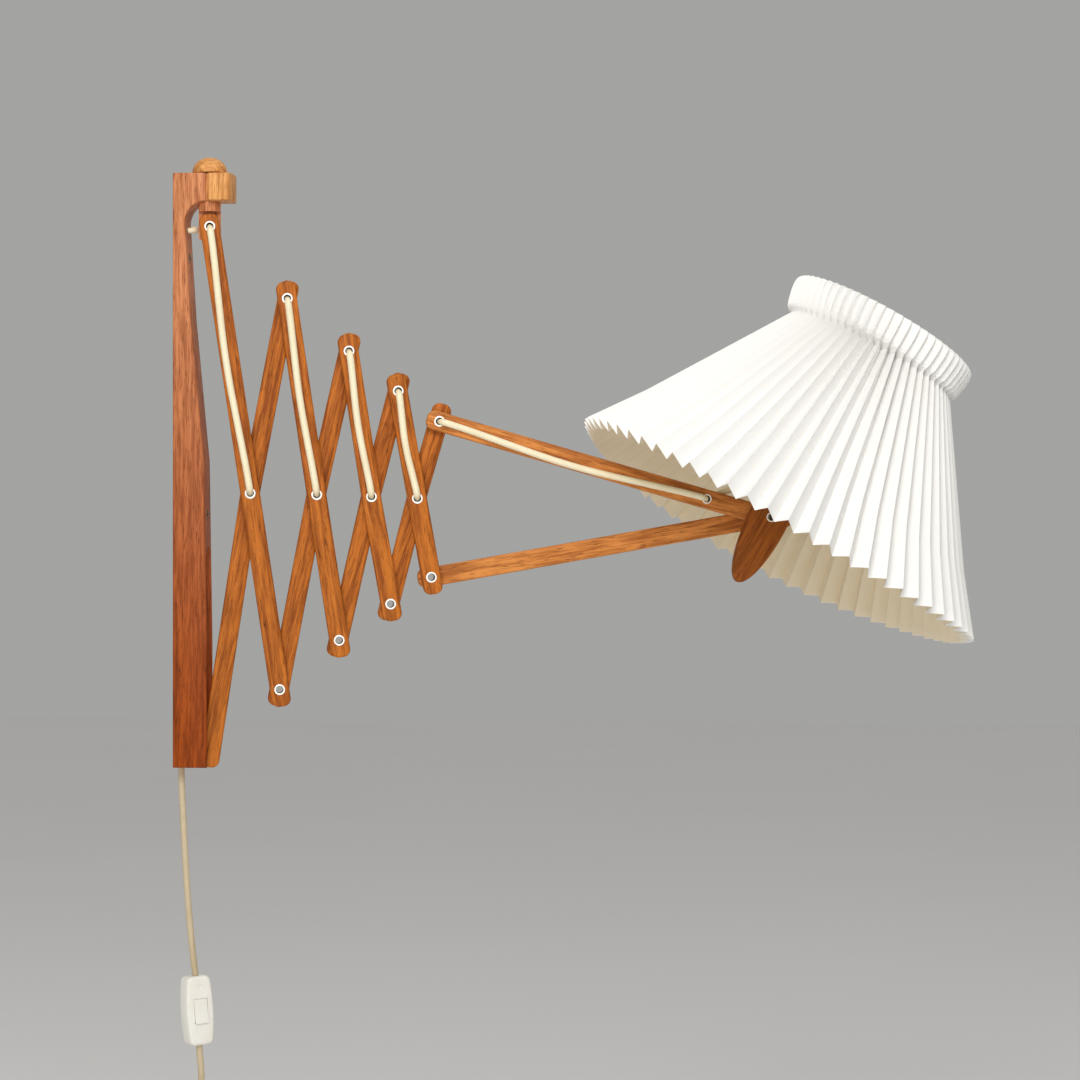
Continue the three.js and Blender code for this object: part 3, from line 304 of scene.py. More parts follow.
@dataclass(frozen=True)
class OiledWood:
    """Oiled wood with a long fine grain, dark pores and a satin rub.

    Each scale says how often a pattern changes in a metre along, across and through the wood.
    A painted sheen turns the wood paler between two heights in metres. It stands in for the light
    that falls on the upper part.
    """

    name: str = "oiled_wood"
    pale: Point = (0.595, 0.178, 0.024)
    deep: Point = (0.225, 0.050, 0.007)
    pore: Point = (0.085, 0.022, 0.005)
    gloss: float = 0.42
    painted_sheen: Optional[Point] = None
    sheen_from: float = -0.33
    sheen_to: float = 0.29
    sheen_bend: float = 1.4
    sway_scale: Point = (5.0, 16.0, 16.0)
    sway_reach: Point = (0.0, 0.012, 0.012)
    figure_scale: Point = (2.6, 75.0, 48.0)
    streak_scale: Point = (26.0, 300.0, 240.0)
    line_scale: Point = (14.0, 1050.0, 800.0)
    pore_scale: Point = (85.0, 1500.0, 1300.0)
    relief: float = 0.00016
    specular: float = 0.12

    def make(self) -> Material:
        """Builds the material."""
        r = Recipe.named(self.name)
        grain = r.stored("grain", "Vector")
        sway = r.noise(grain, self.sway_scale, 2.0) - 0.5
        turned = r.vector("SCALE", {0: self.sway_reach, "Scale": sway})
        swayed = r.vector("ADD", {0: grain, 1: turned})
        figure = r.noise(swayed, self.figure_scale, 3.0)
        streaks = r.noise(swayed, self.streak_scale, 3.0)
        lines = r.noise(swayed, self.line_scale, 2.0)
        pores = r.noise(swayed, self.pore_scale, 1.0)
        pore = pores.between(0.60, 0.71)
        tone = (figure * 0.55 + streaks * 1.05 + lines * 0.55 - 0.58).between(0.25, 0.75)
        colour = r.blend(self.pale, self.deep, tone * 0.84)
        # painted sheen: paler towards the top for the light on the upper part, while the lower part
        # stays darker
        if self.painted_sheen is not None:
            height = r.node("ShaderNodeSeparateXYZ", {}, {0: r.place()})["Z"]
            share = height.between(self.sheen_from, self.sheen_to) ** self.sheen_bend
            colour = r.blend(colour, self.painted_sheen, share * (1.0 - tone * 0.62))
        colour = r.blend(colour, self.pore, pore * (figure * 0.8 + 0.25))
        rough = streaks * 0.2 + pore * 0.15 + (self.gloss - 0.1)
        normal = r.bump(streaks * 0.35 + lines * 0.25 - pore * 0.8, self.relief, 0.6)
        return r.finish(colour, rough, {"Normal": normal, "Specular IOR Level": self.specular})


@dataclass(frozen=True)
class PleatedPaper:
    """Stiff coated paper: white outside, painted darker and warmer inside, with a pressed line at
    each fold.
    """

    name: str = "pleated_paper"
    outside: Point = (0.935, 0.93, 0.91)
    # painted shade and glow: the inside colour stands in for the shade inside the shade and the
    # warm light that comes through the paper
    inside: Point = (0.89, 0.79, 0.60)
    stain: Point = (0.70, 0.62, 0.47)
    pressed: Point = (0.80, 0.75, 0.66)
    cloud_scale: float = 22.0
    fibre_scale: float = 700.0
    relief: float = 0.00012

    def make(self) -> Material:
        """Builds the material."""
        r = Recipe.named(self.name)
        here = r.place()
        inner = r.stored("inner", "Fac")
        fold = r.stored("fold", "Fac")
        cloud = r.noise(here, (self.cloud_scale,) * 3, 3.0)
        fibre = r.noise(here, (self.fibre_scale,) * 3, 2.0)
        crease = fold.between(0.93, 1.0)
        # the points marked inner take the painted inside colour
        colour = r.blend(self.outside, self.inside, inner)
        stained = cloud.between(0.45, 0.8) * 0.10 * (inner + 0.2)
        colour = r.blend(colour, self.stain, stained)
        colour = r.blend(colour, self.pressed, crease * 0.10)
        normal = r.bump(fibre + cloud * 1.5, self.relief, 0.5)
        return r.finish(colour, 0.62 - crease * 0.12, {"Normal": normal})


@dataclass(frozen=True)
class Moulded:
    """Moulded plastic with a faint orange-peel and slight yellowing."""

    name: str
    colour: Point
    aged: Point
    gloss: float = 0.3
    cloud_scale: float = 38.0
    peel_scale: float = 900.0
    speck_scale: float = 420.0
    relief: float = 0.00005

    def make(self) -> Material:
        """Builds the material."""
        r = Recipe.named(self.name)
        here = r.place()
        cloud = r.noise(here, (self.cloud_scale,) * 3, 3.0)
        peel = r.noise(here, (self.peel_scale,) * 3, 1.0)
        speck = r.noise(here, (self.speck_scale,) * 3, 4.0).between(0.70, 0.78)
        colour = r.blend(self.colour, self.aged, cloud.between(0.35, 0.75) * 0.6 + speck * 0.3)
        rough, normal = cloud * 0.14 + (self.gloss - 0.05), r.bump(peel, self.relief, 0.5)
        return r.finish(colour, rough, {"Normal": normal})


@dataclass(frozen=True)
class Sheath:
    """The smooth sheath of a cord, with handling marks along it."""

    name: str
    colour: Point
    worn: Point
    gloss: float = 0.42
    cloud_scale: Point = (60.0, 60.0, 24.0)
    scuff_scale: Point = (900.0, 900.0, 160.0)
    relief: float = 0.00012

    def make(self) -> Material:
        """Builds the material."""
        r = Recipe.named(self.name)
        here = r.place()
        cloud = r.noise(here, self.cloud_scale, 3.0)
        scuff = r.noise(here, self.scuff_scale, 3.0).between(0.56, 0.72)
        colour = r.blend(self.colour, self.worn, cloud.between(0.38, 0.7) * 0.55 + scuff * 0.25)
        rough = scuff * 0.14 + cloud * 0.1 + (self.gloss - 0.06)
        normal = r.bump(cloud * 0.8 + scuff * 0.4, self.relief, 0.5)
        return r.finish(colour, rough, {"Normal": normal})


@dataclass(frozen=True)
class Metal:
    """Metal with fine turning marks and a little tarnish, with painted shade inside a bore."""

    name: str
    colour: Point
    tarnish: Point
    gloss: float = 0.25
    amount: float = 0.35
    shade_in_bore: bool = False
    bore_shade_colour: Point = (0.46, 0.39, 0.31)
    cloud_scale: float = 160.0
    mark_scale: float = 2400.0
    relief: float = 0.00003

    def make(self) -> Material:
        """Builds the material."""
        r = Recipe.named(self.name)
        here = r.place()
        cloud = r.noise(here, (self.cloud_scale,) * 3, 3.0)
        marks = r.noise(here, (self.mark_scale,) * 3, 1.0)
        stain = cloud.between(0.46, 0.7)
        colour = r.blend(self.colour, self.tarnish, stain * self.amount)
        shine: Any = 1.0
        # painted shade: inside the bore the colour turns a dark brownish grey and most of the metal
        # shine is taken away
        if self.shade_in_bore:
            bore = r.stored("bore", "Fac")
            colour = r.blend(colour, self.bore_shade_colour, bore * 0.9)
            shine = 1.0 - bore * 0.8
        rough = stain * 0.16 + marks * 0.06 + self.gloss
        normal = r.bump(marks, self.relief, 0.4)
        return r.finish(colour, rough, {"Metallic": shine, "Normal": normal})


@dataclass(frozen=True)
class OpalGlass:
    """Opal glass of a lamp bulb, clouded between two tones."""

    name: str = "opal_glass"
    colour: Point = (0.88, 0.85, 0.78)
    bright: Point = (0.95, 0.93, 0.88)
    cloud_scale: float = 26.0

    def make(self) -> Material:
        """Builds the material."""
        r = Recipe.named(self.name)
        cloud = r.noise(r.place(), (self.cloud_scale,) * 3, 2.0)
        colour = r.blend(self.colour, self.bright, cloud)
        return r.finish(colour, cloud * 0.06 + 0.1, {"Coat Weight": 0.6, "Coat Roughness": 0.04})


class Palette:
    """Every finish of the lamp, made once."""

    def __init__(self) -> None:
        """Makes the materials."""
        self.wood = OiledWood(gloss=0.44).make()
        self.pale_wood = OiledWood(
            "pale_oiled_wood", (0.88, 0.425, 0.145), (0.44, 0.165, 0.038), (0.20, 0.068, 0.016)
        ).make()
        self.arm_wood = OiledWood(
            "arm_wood", (0.76, 0.290, 0.072), (0.34, 0.100, 0.020), (0.12, 0.034, 0.008)
        ).make()
        self.dark_wood = OiledWood(
            "dark_oiled_wood", (0.41, 0.118, 0.019), (0.17, 0.044, 0.008), (0.06, 0.016, 0.004)
        ).make()
        # the board's wood carries a painted sheen, paler towards the top
        self.board_wood = OiledWood(
            "board_wood", (0.385, 0.072, 0.006), (0.18, 0.031, 0.003), (0.08, 0.017, 0.003),
            gloss=0.46, painted_sheen=(0.74, 0.31, 0.140),
        ).make()
        self.paper = PleatedPaper().make()
        self.white = Moulded("white_plastic", (0.90, 0.885, 0.83), (0.83, 0.79, 0.68)).make()
        self.ivory = Sheath("ivory_cord", (0.93, 0.84, 0.60), (0.86, 0.74, 0.48)).make()
        self.beige = Sheath("lead", (0.61, 0.50, 0.33), (0.44, 0.33, 0.18), 0.5).make()
        # the rivets' bores get painted shade
        self.rivet = Metal(
            "rivet_metal", (0.99, 0.97, 0.93), (0.90, 0.86, 0.76), 0.5, amount=0.2, shade_in_bore=True
        ).make()
        self.screw = Metal("screw_metal", (0.32, 0.27, 0.21), (0.16, 0.12, 0.08), 0.35).make()
        self.cap = Metal("cap_metal", (0.78, 0.77, 0.74), (0.50, 0.47, 0.40), 0.28).make()
        self.opal = OpalGlass().make()


# ---------- meshes


SAME_POINT = 1e-4
ON_THE_AXIS = 1e-6
SHARPEST_LEAN = 0.35
ALMOST_STRAIGHT = 89.0


class Form:
    """Points and faces of one closed form, in millimetres."""

    def __init__(self) -> None:
        """Starts empty."""
        self.points: list[Point] = []
        self.faces: list[tuple[int, ...]] = []

    def placed(self, matrix: Matrix) -> "Form":
        """The same form moved by a matrix."""
        other = Form()
        other.points = [tuple(matrix @ Vector(p)) for p in self.points]
        other.faces = list(self.faces)
        return other

    @staticmethod
    def turned(profile: Sequence[Pair], sides: int = 48, ring: bool = False) -> "Form":
        """A profile of radius and height turned about Z.

        Args:
            profile: Radius and height, from the axis round to the axis, or a closed ring.
            sides: How many sides the turned form has.
            ring: Whether the profile closes on itself.

        Returns:
            The closed form.
        """
        form = Form()
        rows: list[list[int]] = []
        for radius, height in profile:
            if radius < ON_THE_AXIS:
                form.points.append((0.0, 0.0, height))
                rows.append([len(form.points) - 1] * sides)
                continue
            first = len(form.points)
            for k in range(sides):
                angle = 2 * pi * k / sides
                form.points.append((radius * cos(angle), radius * sin(angle), height))
            rows.append(list(range(first, first + sides)))
        pairs = list(zip(rows, rows[1:]))
        if ring:
            pairs.append((rows[-1], rows[0]))
        for low, high in pairs:
            for k in range(sides):
                j = (k + 1) % sides
                face = tuple(dict.fromkeys((low[k], low[j], high[j], high[k])))
                if len(face) > 2:
                    form.faces.append(face)
        return form

    @staticmethod
    def slab(
        outline: Sequence[Pair], low: float, high: float, edge: float, steps: int = 3
    ) -> "Form":
        """An outline in X and Z, with a thickness along Y and rounded edges.

        Args:
            outline: The corners, all round.
            low: Y of one face.
            high: Y of the other face.
            edge: Radius of the edges.
            steps: How many faces round each edge.

        Returns:
            The closed form.
        """
        form = Form()
        levels: list[Pair] = []
        for k in range(steps + 1):
            angle = pi / 2 * k / steps
            levels.append((edge * (1 - sin(angle)), low + edge * (1 - cos(angle))))
        levels += [(inset, low + high - y) for inset, y in reversed(levels)]
        count = len(outline)
        for inset, y in levels:
            for x, z in Form.inset(outline, inset):
                form.points.append((x, y, z))
        return form.skinned(len(levels), count)

    def skinned(self, rows: int, count: int) -> "Form":
        """This form with the faces between its rows of points, and one over each end.

        Args:
            rows: How many rows of points it has.
            count: How many points each row has.

        Returns:
            The form, closed.
        """
        for row in range(rows - 1):
            a, b = row * count, (row + 1) * count
            for k in range(count):
                j = (k + 1) % count
                self.faces.append((a + k, a + j, b + j, b + k))
        last = (rows - 1) * count
        self.faces += [tuple(reversed(range(count))), tuple(range(last, last + count))]
        return self

    @staticmethod
    def inset(outline: Sequence[Pair], distance: float) -> list[Pair]:
        """The outline drawn inward by a distance."""
        if distance <= 0:
            return list(outline)
        area = sum(
            a[0] * b[1] - b[0] * a[1] for a, b in zip(outline, list(outline[1:]) + [outline[0]])
        )
        sign = 1.0 if area > 0 else -1.0
        moved: list[Pair] = []
        count = len(outline)
        for k in range(count):
            before, here, after = outline[k - 1], outline[k], outline[(k + 1) % count]
            one = Vector((here[0] - before[0], here[1] - before[1])).normalized()
            two = Vector((after[0] - here[0], after[1] - here[1])).normalized()
            normal = Vector((-(one.y + two.y), one.x + two.x)) * sign
            normal.normalize()
            lean = max(SHARPEST_LEAN, normal.dot(Vector((-one.y, one.x)) * sign))
            reach = (normal.x * distance / lean, normal.y * distance / lean)
            moved.append((here[0] + reach[0], here[1] + reach[1]))
        return moved

    @staticmethod
    def block(x: Pair, y: Pair, z: Pair) -> "Form":
        """A plain box, for cutting."""
        form = Form()
        form.points = [(a, b, c) for a in x for b in y for c in z]
        form.faces = [
            (0, 1, 3, 2), (4, 6, 7, 5), (0, 4, 5, 1), (2, 3, 7, 6), (0, 2, 6, 4), (1, 5, 7, 3),
        ]
        return form

    @staticmethod
    def tube(path: Sequence[Vector], radius: Any, sides: int = 16) -> "Form":
        """A round tube along a path.

        Args:
            path: The centreline.
            radius: One radius, or a function of the share of the path.
            sides: How many sides it has.

        Returns:
            The closed form.
        """
        form = Form()
        count = len(path)
        size: Callable[[float], float] = radius if callable(radius) else (lambda share: radius)
        tangents = [
            (path[min(i + 1, count - 1)] - path[max(i - 1, 0)]).normalized() for i in range(count)
        ]
        side = tangents[0].orthogonal().normalized()
        for i, place in enumerate(path):
            side = (side - tangents[i] * side.dot(tangents[i])).normalized()
            other = tangents[i].cross(side)
            r = size(i / (count - 1))
            for k in range(sides):
                angle = 2 * pi * k / sides
                form.points.append(
                    tuple(place + side * (r * cos(angle)) + other * (r * sin(angle)))
                )
        return form.skinned(count, sides)


def rod(axis: str, radius: float, low: float, high: float, sides: int = 32) -> Form:
    """A plain cylinder along X, Y or Z through the origin, for cutting."""
    form = Form.turned([(0, low), (radius, low), (radius, high), (0, high)], sides)
    if axis == "Y":
        return form.placed(turn(-90, "X"))
    if axis == "X":
        return form.placed(turn(90, "Y"))
    return form


def rounded(corners: Sequence[Point], steps: int = 6) -> list[Pair]:
    """A polygon whose corners are rounded.

    Args:
        corners: X, Z and the radius of each corner.
        steps: How many steps a quarter turn has.

    Returns:
        The outline.
    """
    outline: list[Pair] = []
    count = len(corners)
    for i, (x, z, radius) in enumerate(corners):
        here = Vector((x, z))
        back = (Vector(corners[i - 1][:2]) - here).normalized()
        on = (Vector(corners[(i + 1) % count][:2]) - here).normalized()
        half = math.acos(max(-1.0, min(1.0, back.dot(on)))) / 2
        if radius <= 0 or half > math.radians(ALMOST_STRAIGHT):
            outline.append((x, z))
            continue
        reach = radius / math.tan(half)
        start, end = here + back * reach, here + on * reach
        centre = here + (back + on).normalized() * (radius / sin(half))
        first = math.atan2(start.y - centre.y, start.x - centre.x)
        sweep = math.atan2(end.y - centre.y, end.x - centre.x) - first
        sweep = (sweep + pi) % (2 * pi) - pi
        number = max(2, round(abs(sweep) / (pi / 2) * steps))
        for k in range(number + 1):
            angle = first + sweep * k / number
            along, up = radius * cos(angle), radius * sin(angle)
            outline.append((centre.x + along, centre.y + up))
    return outline


def plate(low: Pair, high: Pair, corner: float, steps: int = 6) -> list[Pair]:
    """The outline of a rectangle with rounded corners, between two opposite corners."""
    (left, under), (right, over) = low, high
    corners = [(left, under), (right, under), (right, over), (left, over)]
    return rounded([(x, y, corner) for x, y in corners], steps)


def sine(degrees: float) -> float:
    """The sine of an angle in degrees."""
    return sin(math.radians(degrees))


def cosine(degrees: float) -> float:
    """The cosine of an angle in degrees."""
    return cos(math.radians(degrees))


def arc(centre: Pair, radius: float, start: float, end: float, steps: int) -> list[Pair]:
    """Points round an arc, angles in degrees."""
    angles = [math.radians(start + (end - start) * k / steps) for k in range(steps + 1)]
    return [(centre[0] + radius * cos(a), centre[1] + radius * sin(a)) for a in angles]


def bare_mesh(name: str, form: Form) -> Mesh:
    """A mesh of a form, still in millimetres, with its faces turned outward."""
    mesh = bpy.data.meshes.new(name)
    mesh.from_pydata(form.points, [], form.faces)
    work = bmesh.new()
    work.from_mesh(mesh)
    bmesh.ops.remove_doubles(work, verts=work.verts, dist=SAME_POINT)
    bmesh.ops.recalc_face_normals(work, faces=work.faces)
    work.to_mesh(mesh)
    work.free()
    return mesh


def shape(name: str, body: Form, cutters: Iterable[tuple[Part, Form]] = ()) -> Mesh:
    """A body with its cutters applied in order.

    Args:
        name: The name of the mesh.
        body: The form to start from.
        cutters: What is cut away or added.

    Returns:
        The finished mesh, in millimetres.
    """
    mesh = bare_mesh(name, body)
    cutters = list(cutters)
    if not cutters:
        return mesh
    scene = bpy.context.scene
    base = bpy.data.objects.new(name + "_work", mesh)
    scene.collection.objects.link(base)
    tools = []
    for part, form in cutters:
        tool = bpy.data.objects.new(name + "_tool", bare_mesh(name + "_tool", form))
        scene.collection.objects.link(tool)
        modifier = base.modifiers.new("cut", "BOOLEAN")
        modifier.operation = part.value
        modifier.solver = "EXACT"
        modifier.object = tool
        tools.append(tool)
    bpy.context.view_layer.update()
    ready = base.evaluated_get(bpy.context.evaluated_depsgraph_get())
    result = bpy.data.meshes.new_from_object(ready)
    result.name = name
    for item in [base, *tools]:
        data = item.data
        bpy.data.objects.remove(item)
        bpy.data.meshes.remove(data)
    return result


Bend = tuple[str, Vector, Vector]


class Workshop:
    """Turns meshes into pieces that ride on the frame."""

    grain_step: Point = (0.731, 0.173, 0.297)

    def __init__(self) -> None:
        """Starts with no pieces."""
        self.made: list[Object] = []

    def piece(
        self,
        name: str,
        mesh: Mesh,
        place: Matrix,
        look: Material,
        body: str,
        slot: str,
        nodes: Sequence[str] = (),
        grain: Optional[Along] = None,
        sharp: float = 32.0,
        bend: Optional[Bend] = None,
    ) -> Object:
        """Makes one piece.

        Args:
            name: The piece's name.
            mesh: Its mesh in its own axes, in millimetres.
            place: Where its axes are, in millimetres.
            look: Its material.
            body: The CAD body that it rides on.
            slot: The record's slot that it takes its finish from; not used.
            nodes: The CAD nodes that it stands for.
            grain: Which way its wood runs.
            sharp: The angle in degrees past which an edge stays sharp.
            bend: For a piece that crosses a joint, the other body, and the places where it
                leaves that body and where it follows its own, in millimetres.

        Returns:
            The piece.
        """
        if grain is not None:
            self._store_grain(mesh, grain, len(self.made))
        mesh.transform(Matrix.Scale(MM, 4) @ place)
        mesh.materials.clear()
        mesh.materials.append(look)
        mesh.shade_smooth()
        mesh.set_sharp_from_angle(angle=math.radians(sharp))
        made = bpy.data.objects.new(name, mesh)
        bpy.context.scene.collection.objects.link(made)
        return self.join(made, body, nodes, bend)

    def join(
        self,
        made: Object,
        body: str,
        nodes: Sequence[str],
        bend: Optional[Bend] = None,
    ) -> Object:
        """Lets a finished object ride on a body and stand for CAD nodes; a piece with a bend is
        only baked in place.
        """
        if bend is None:
            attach(made, body)
        else:
            other, leaves, follows = bend
            tuple(leaves * MM)
            tuple(follows * MM)
            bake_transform(made)
        if nodes:
            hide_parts(*nodes)
        self.made.append(made)
        log.info("%s rides on %s", made.name, body)
        return made

    def _store_grain(self, mesh: Mesh, grain: Along, number: int) -> None:
        """Stores each point's place along, across and through the wood, in metres.

        Args:
            mesh: The mesh, in millimetres.
            grain: Which way the wood runs.
            number: Counts the pieces, so that no two are cut from the same wood.
        """
        store = mesh.attributes.new("grain", "FLOAT_VECTOR", "POINT")
        start = Vector(number * step for step in self.grain_step)
        values: list[float] = []
        for vertex in mesh.vertices:
            values += [vertex.co[axis] * MM + s for axis, s in zip(grain.value, start)]
        store.data.foreach_set("vector", values)


def shift(x: float, y: float, z: float) -> Matrix:
    """A translation."""
    return Matrix.Translation((x, y, z))


def turn(degrees: float, axis: str) -> Matrix:
    """A rotation in degrees."""
    return Matrix.Rotation(math.radians(degrees), 4, axis)


def smooth_path(points: Sequence[Vector], steps: int) -> list[Vector]:
    """A centripetal curve through points, with even steps in each stretch."""
    ends = [points[0] * 2 - points[1], *points, points[-1] * 2 - points[-2]]
    path: list[Vector] = [points[0].copy()]
    for i in range(len(points) - 1):
        p0, p1, p2, p3 = ends[i : i + 4]
        t0 = 0.0
        t1 = t0 + (p1 - p0).length ** 0.5
        t2 = t1 + (p2 - p1).length ** 0.5
        t3 = t2 + (p3 - p2).length ** 0.5
        for k in range(1, steps + 1):
            t = t1 + (t2 - t1) * k / steps
            a1 = p0 * ((t1 - t) / (t1 - t0)) + p1 * ((t - t0) / (t1 - t0))
            a2 = p1 * ((t2 - t) / (t2 - t1)) + p2 * ((t - t1) / (t2 - t1))
            a3 = p2 * ((t3 - t) / (t3 - t2)) + p3 * ((t - t2) / (t3 - t2))
            b1 = a1 * ((t2 - t) / (t2 - t0)) + a2 * ((t - t0) / (t2 - t0))
            b2 = a2 * ((t3 - t) / (t3 - t1)) + a3 * ((t - t1) / (t3 - t1))
            path.append(b1 * ((t2 - t) / (t2 - t1)) + b2 * ((t - t1) / (t2 - t1)))
    return path


# ---------- studio


@dataclass(frozen=True)
class SoftBox:
    """A square lamp: where it hangs, what it points at, its side, its power and its colour."""

    name: str
    place: Point
    aim: Point
    side: float
    power: float
    colour: Point

    def hang(self) -> None:
        """Hangs the lamp in the scene."""
        data = bpy.data.lights.new(self.name, "AREA")
        data.shape = "SQUARE"
        data.size = self.side
        data.energy = self.power
        data.color = self.colour
        lamp = bpy.data.objects.new(self.name, data)
        lamp.location = self.place
        direction = Vector(self.aim) - Vector(self.place)
        lamp.rotation_euler = direction.to_track_quat("-Z", "Y").to_euler()
        bpy.context.scene.collection.objects.link(lamp)


@dataclass
class Studio:
    """Camera, floor, lamps and surroundings, in metres."""

    camera_place: Point = (0.602769, -2.660032, -0.064404)
    camera_turn: float = 5.65
    lens: float = 97.2
    sensor: float = 36.0
    farthest: float = 60.0
    floor_height: float = -0.79
    floor_reach: float = 9.0
    floor_colour: Point = (0.88, 0.88, 0.875)
    floor_cloud: float = 1.2
    floor_shade: float = 0.96
    floor_rough: float = 0.8
    backdrop: Point = (0.368, 0.368, 0.360)
    sky: Point = (1.0, 0.985, 0.96)
    sky_strength: float = 0.42
    boxes: Sequence[SoftBox] = (
        SoftBox("key", (0.42, -2.45, 1.35), (0.30, 0.0, 0.0), 1.3, 42.0, (1.0, 0.985, 0.96)),
        SoftBox("fill", (0.05, -2.15, -0.20), (0.55, 0.0, 1.30), 0.8, 7.3, (1.0, 0.975, 0.94)),
        SoftBox("top", (0.4, 0.3, 2.3), (0.4, 0.0, 0.0), 1.6, 9.0, (1.0, 1.0, 1.0)),
    )

    def make_camera(self) -> None:
        """Places the camera at the photograph's viewing angle."""
        data = bpy.data.cameras.new("camera")
        data.lens = self.lens
        data.sensor_width = self.sensor
        data.clip_end = self.farthest
        camera = bpy.data.objects.new("camera", data)
        camera.location = self.camera_place
        camera.rotation_euler = (math.radians(90), 0.0, math.radians(self.camera_turn))
        bpy.context.scene.collection.objects.link(camera)
        bpy.context.scene.camera = camera

    def make_floor(self) -> None:
        """Lays the pale floor."""
        mesh = bpy.data.meshes.new("floor")
        reach = self.floor_reach
        corners = [(-reach, -reach), (reach, -reach), (reach, reach), (-reach, reach)]
        mesh.from_pydata([(x, y, self.floor_height) for x, y in corners], [], [(0, 1, 2, 3)])
        r = Recipe.named("studio_floor")
        cloud = r.noise(r.place(), (self.floor_cloud,) * 3, 2.0)
        darker = tuple(c * self.floor_shade for c in self.floor_colour)
        colour = r.blend(self.floor_colour, darker, cloud)
        mesh.materials.append(r.finish(colour, self.floor_rough, {"Specular IOR Level": 0.1}))
        floor = bpy.data.objects.new("floor", mesh)
        bpy.context.scene.collection.objects.link(floor)
        floor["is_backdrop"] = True

    def make_world(self) -> None:
        """Gives the surroundings their plain pale light, and the backdrop that the camera sees."""
        world = bpy.data.worlds.new("studio")
        r = Recipe(world)
        path = r.node("ShaderNodeLightPath", {}, {})
        rays = {0: path["Is Camera Ray"], 1: path["Is Transmission Ray"]}
        share = r.node("ShaderNodeMath", {"operation": "MAXIMUM"}, rays)["Value"]
        light = {"Color": (*self.sky, 1.0), "Strength": self.sky_strength}
        lit = r.node("ShaderNodeBackground", {}, light)["Background"]
        wall = {"Color": (*self.backdrop, 1.0), "Strength": 1.0}
        seen = r.node("ShaderNodeBackground", {}, wall)["Background"]
        mixed = r.node("ShaderNodeMixShader", {}, {0: share, 1: lit, 2: seen})["Shader"]
        r.node("ShaderNodeOutputWorld", {}, {"Surface": mixed})
        bpy.context.scene.world = world
        bpy.context.scene.view_settings.view_transform = "Standard"

    def make_lamps(self) -> None:
        """Hangs three soft boxes."""
        for box in self.boxes:
            box.hang()


# ---------- the lead


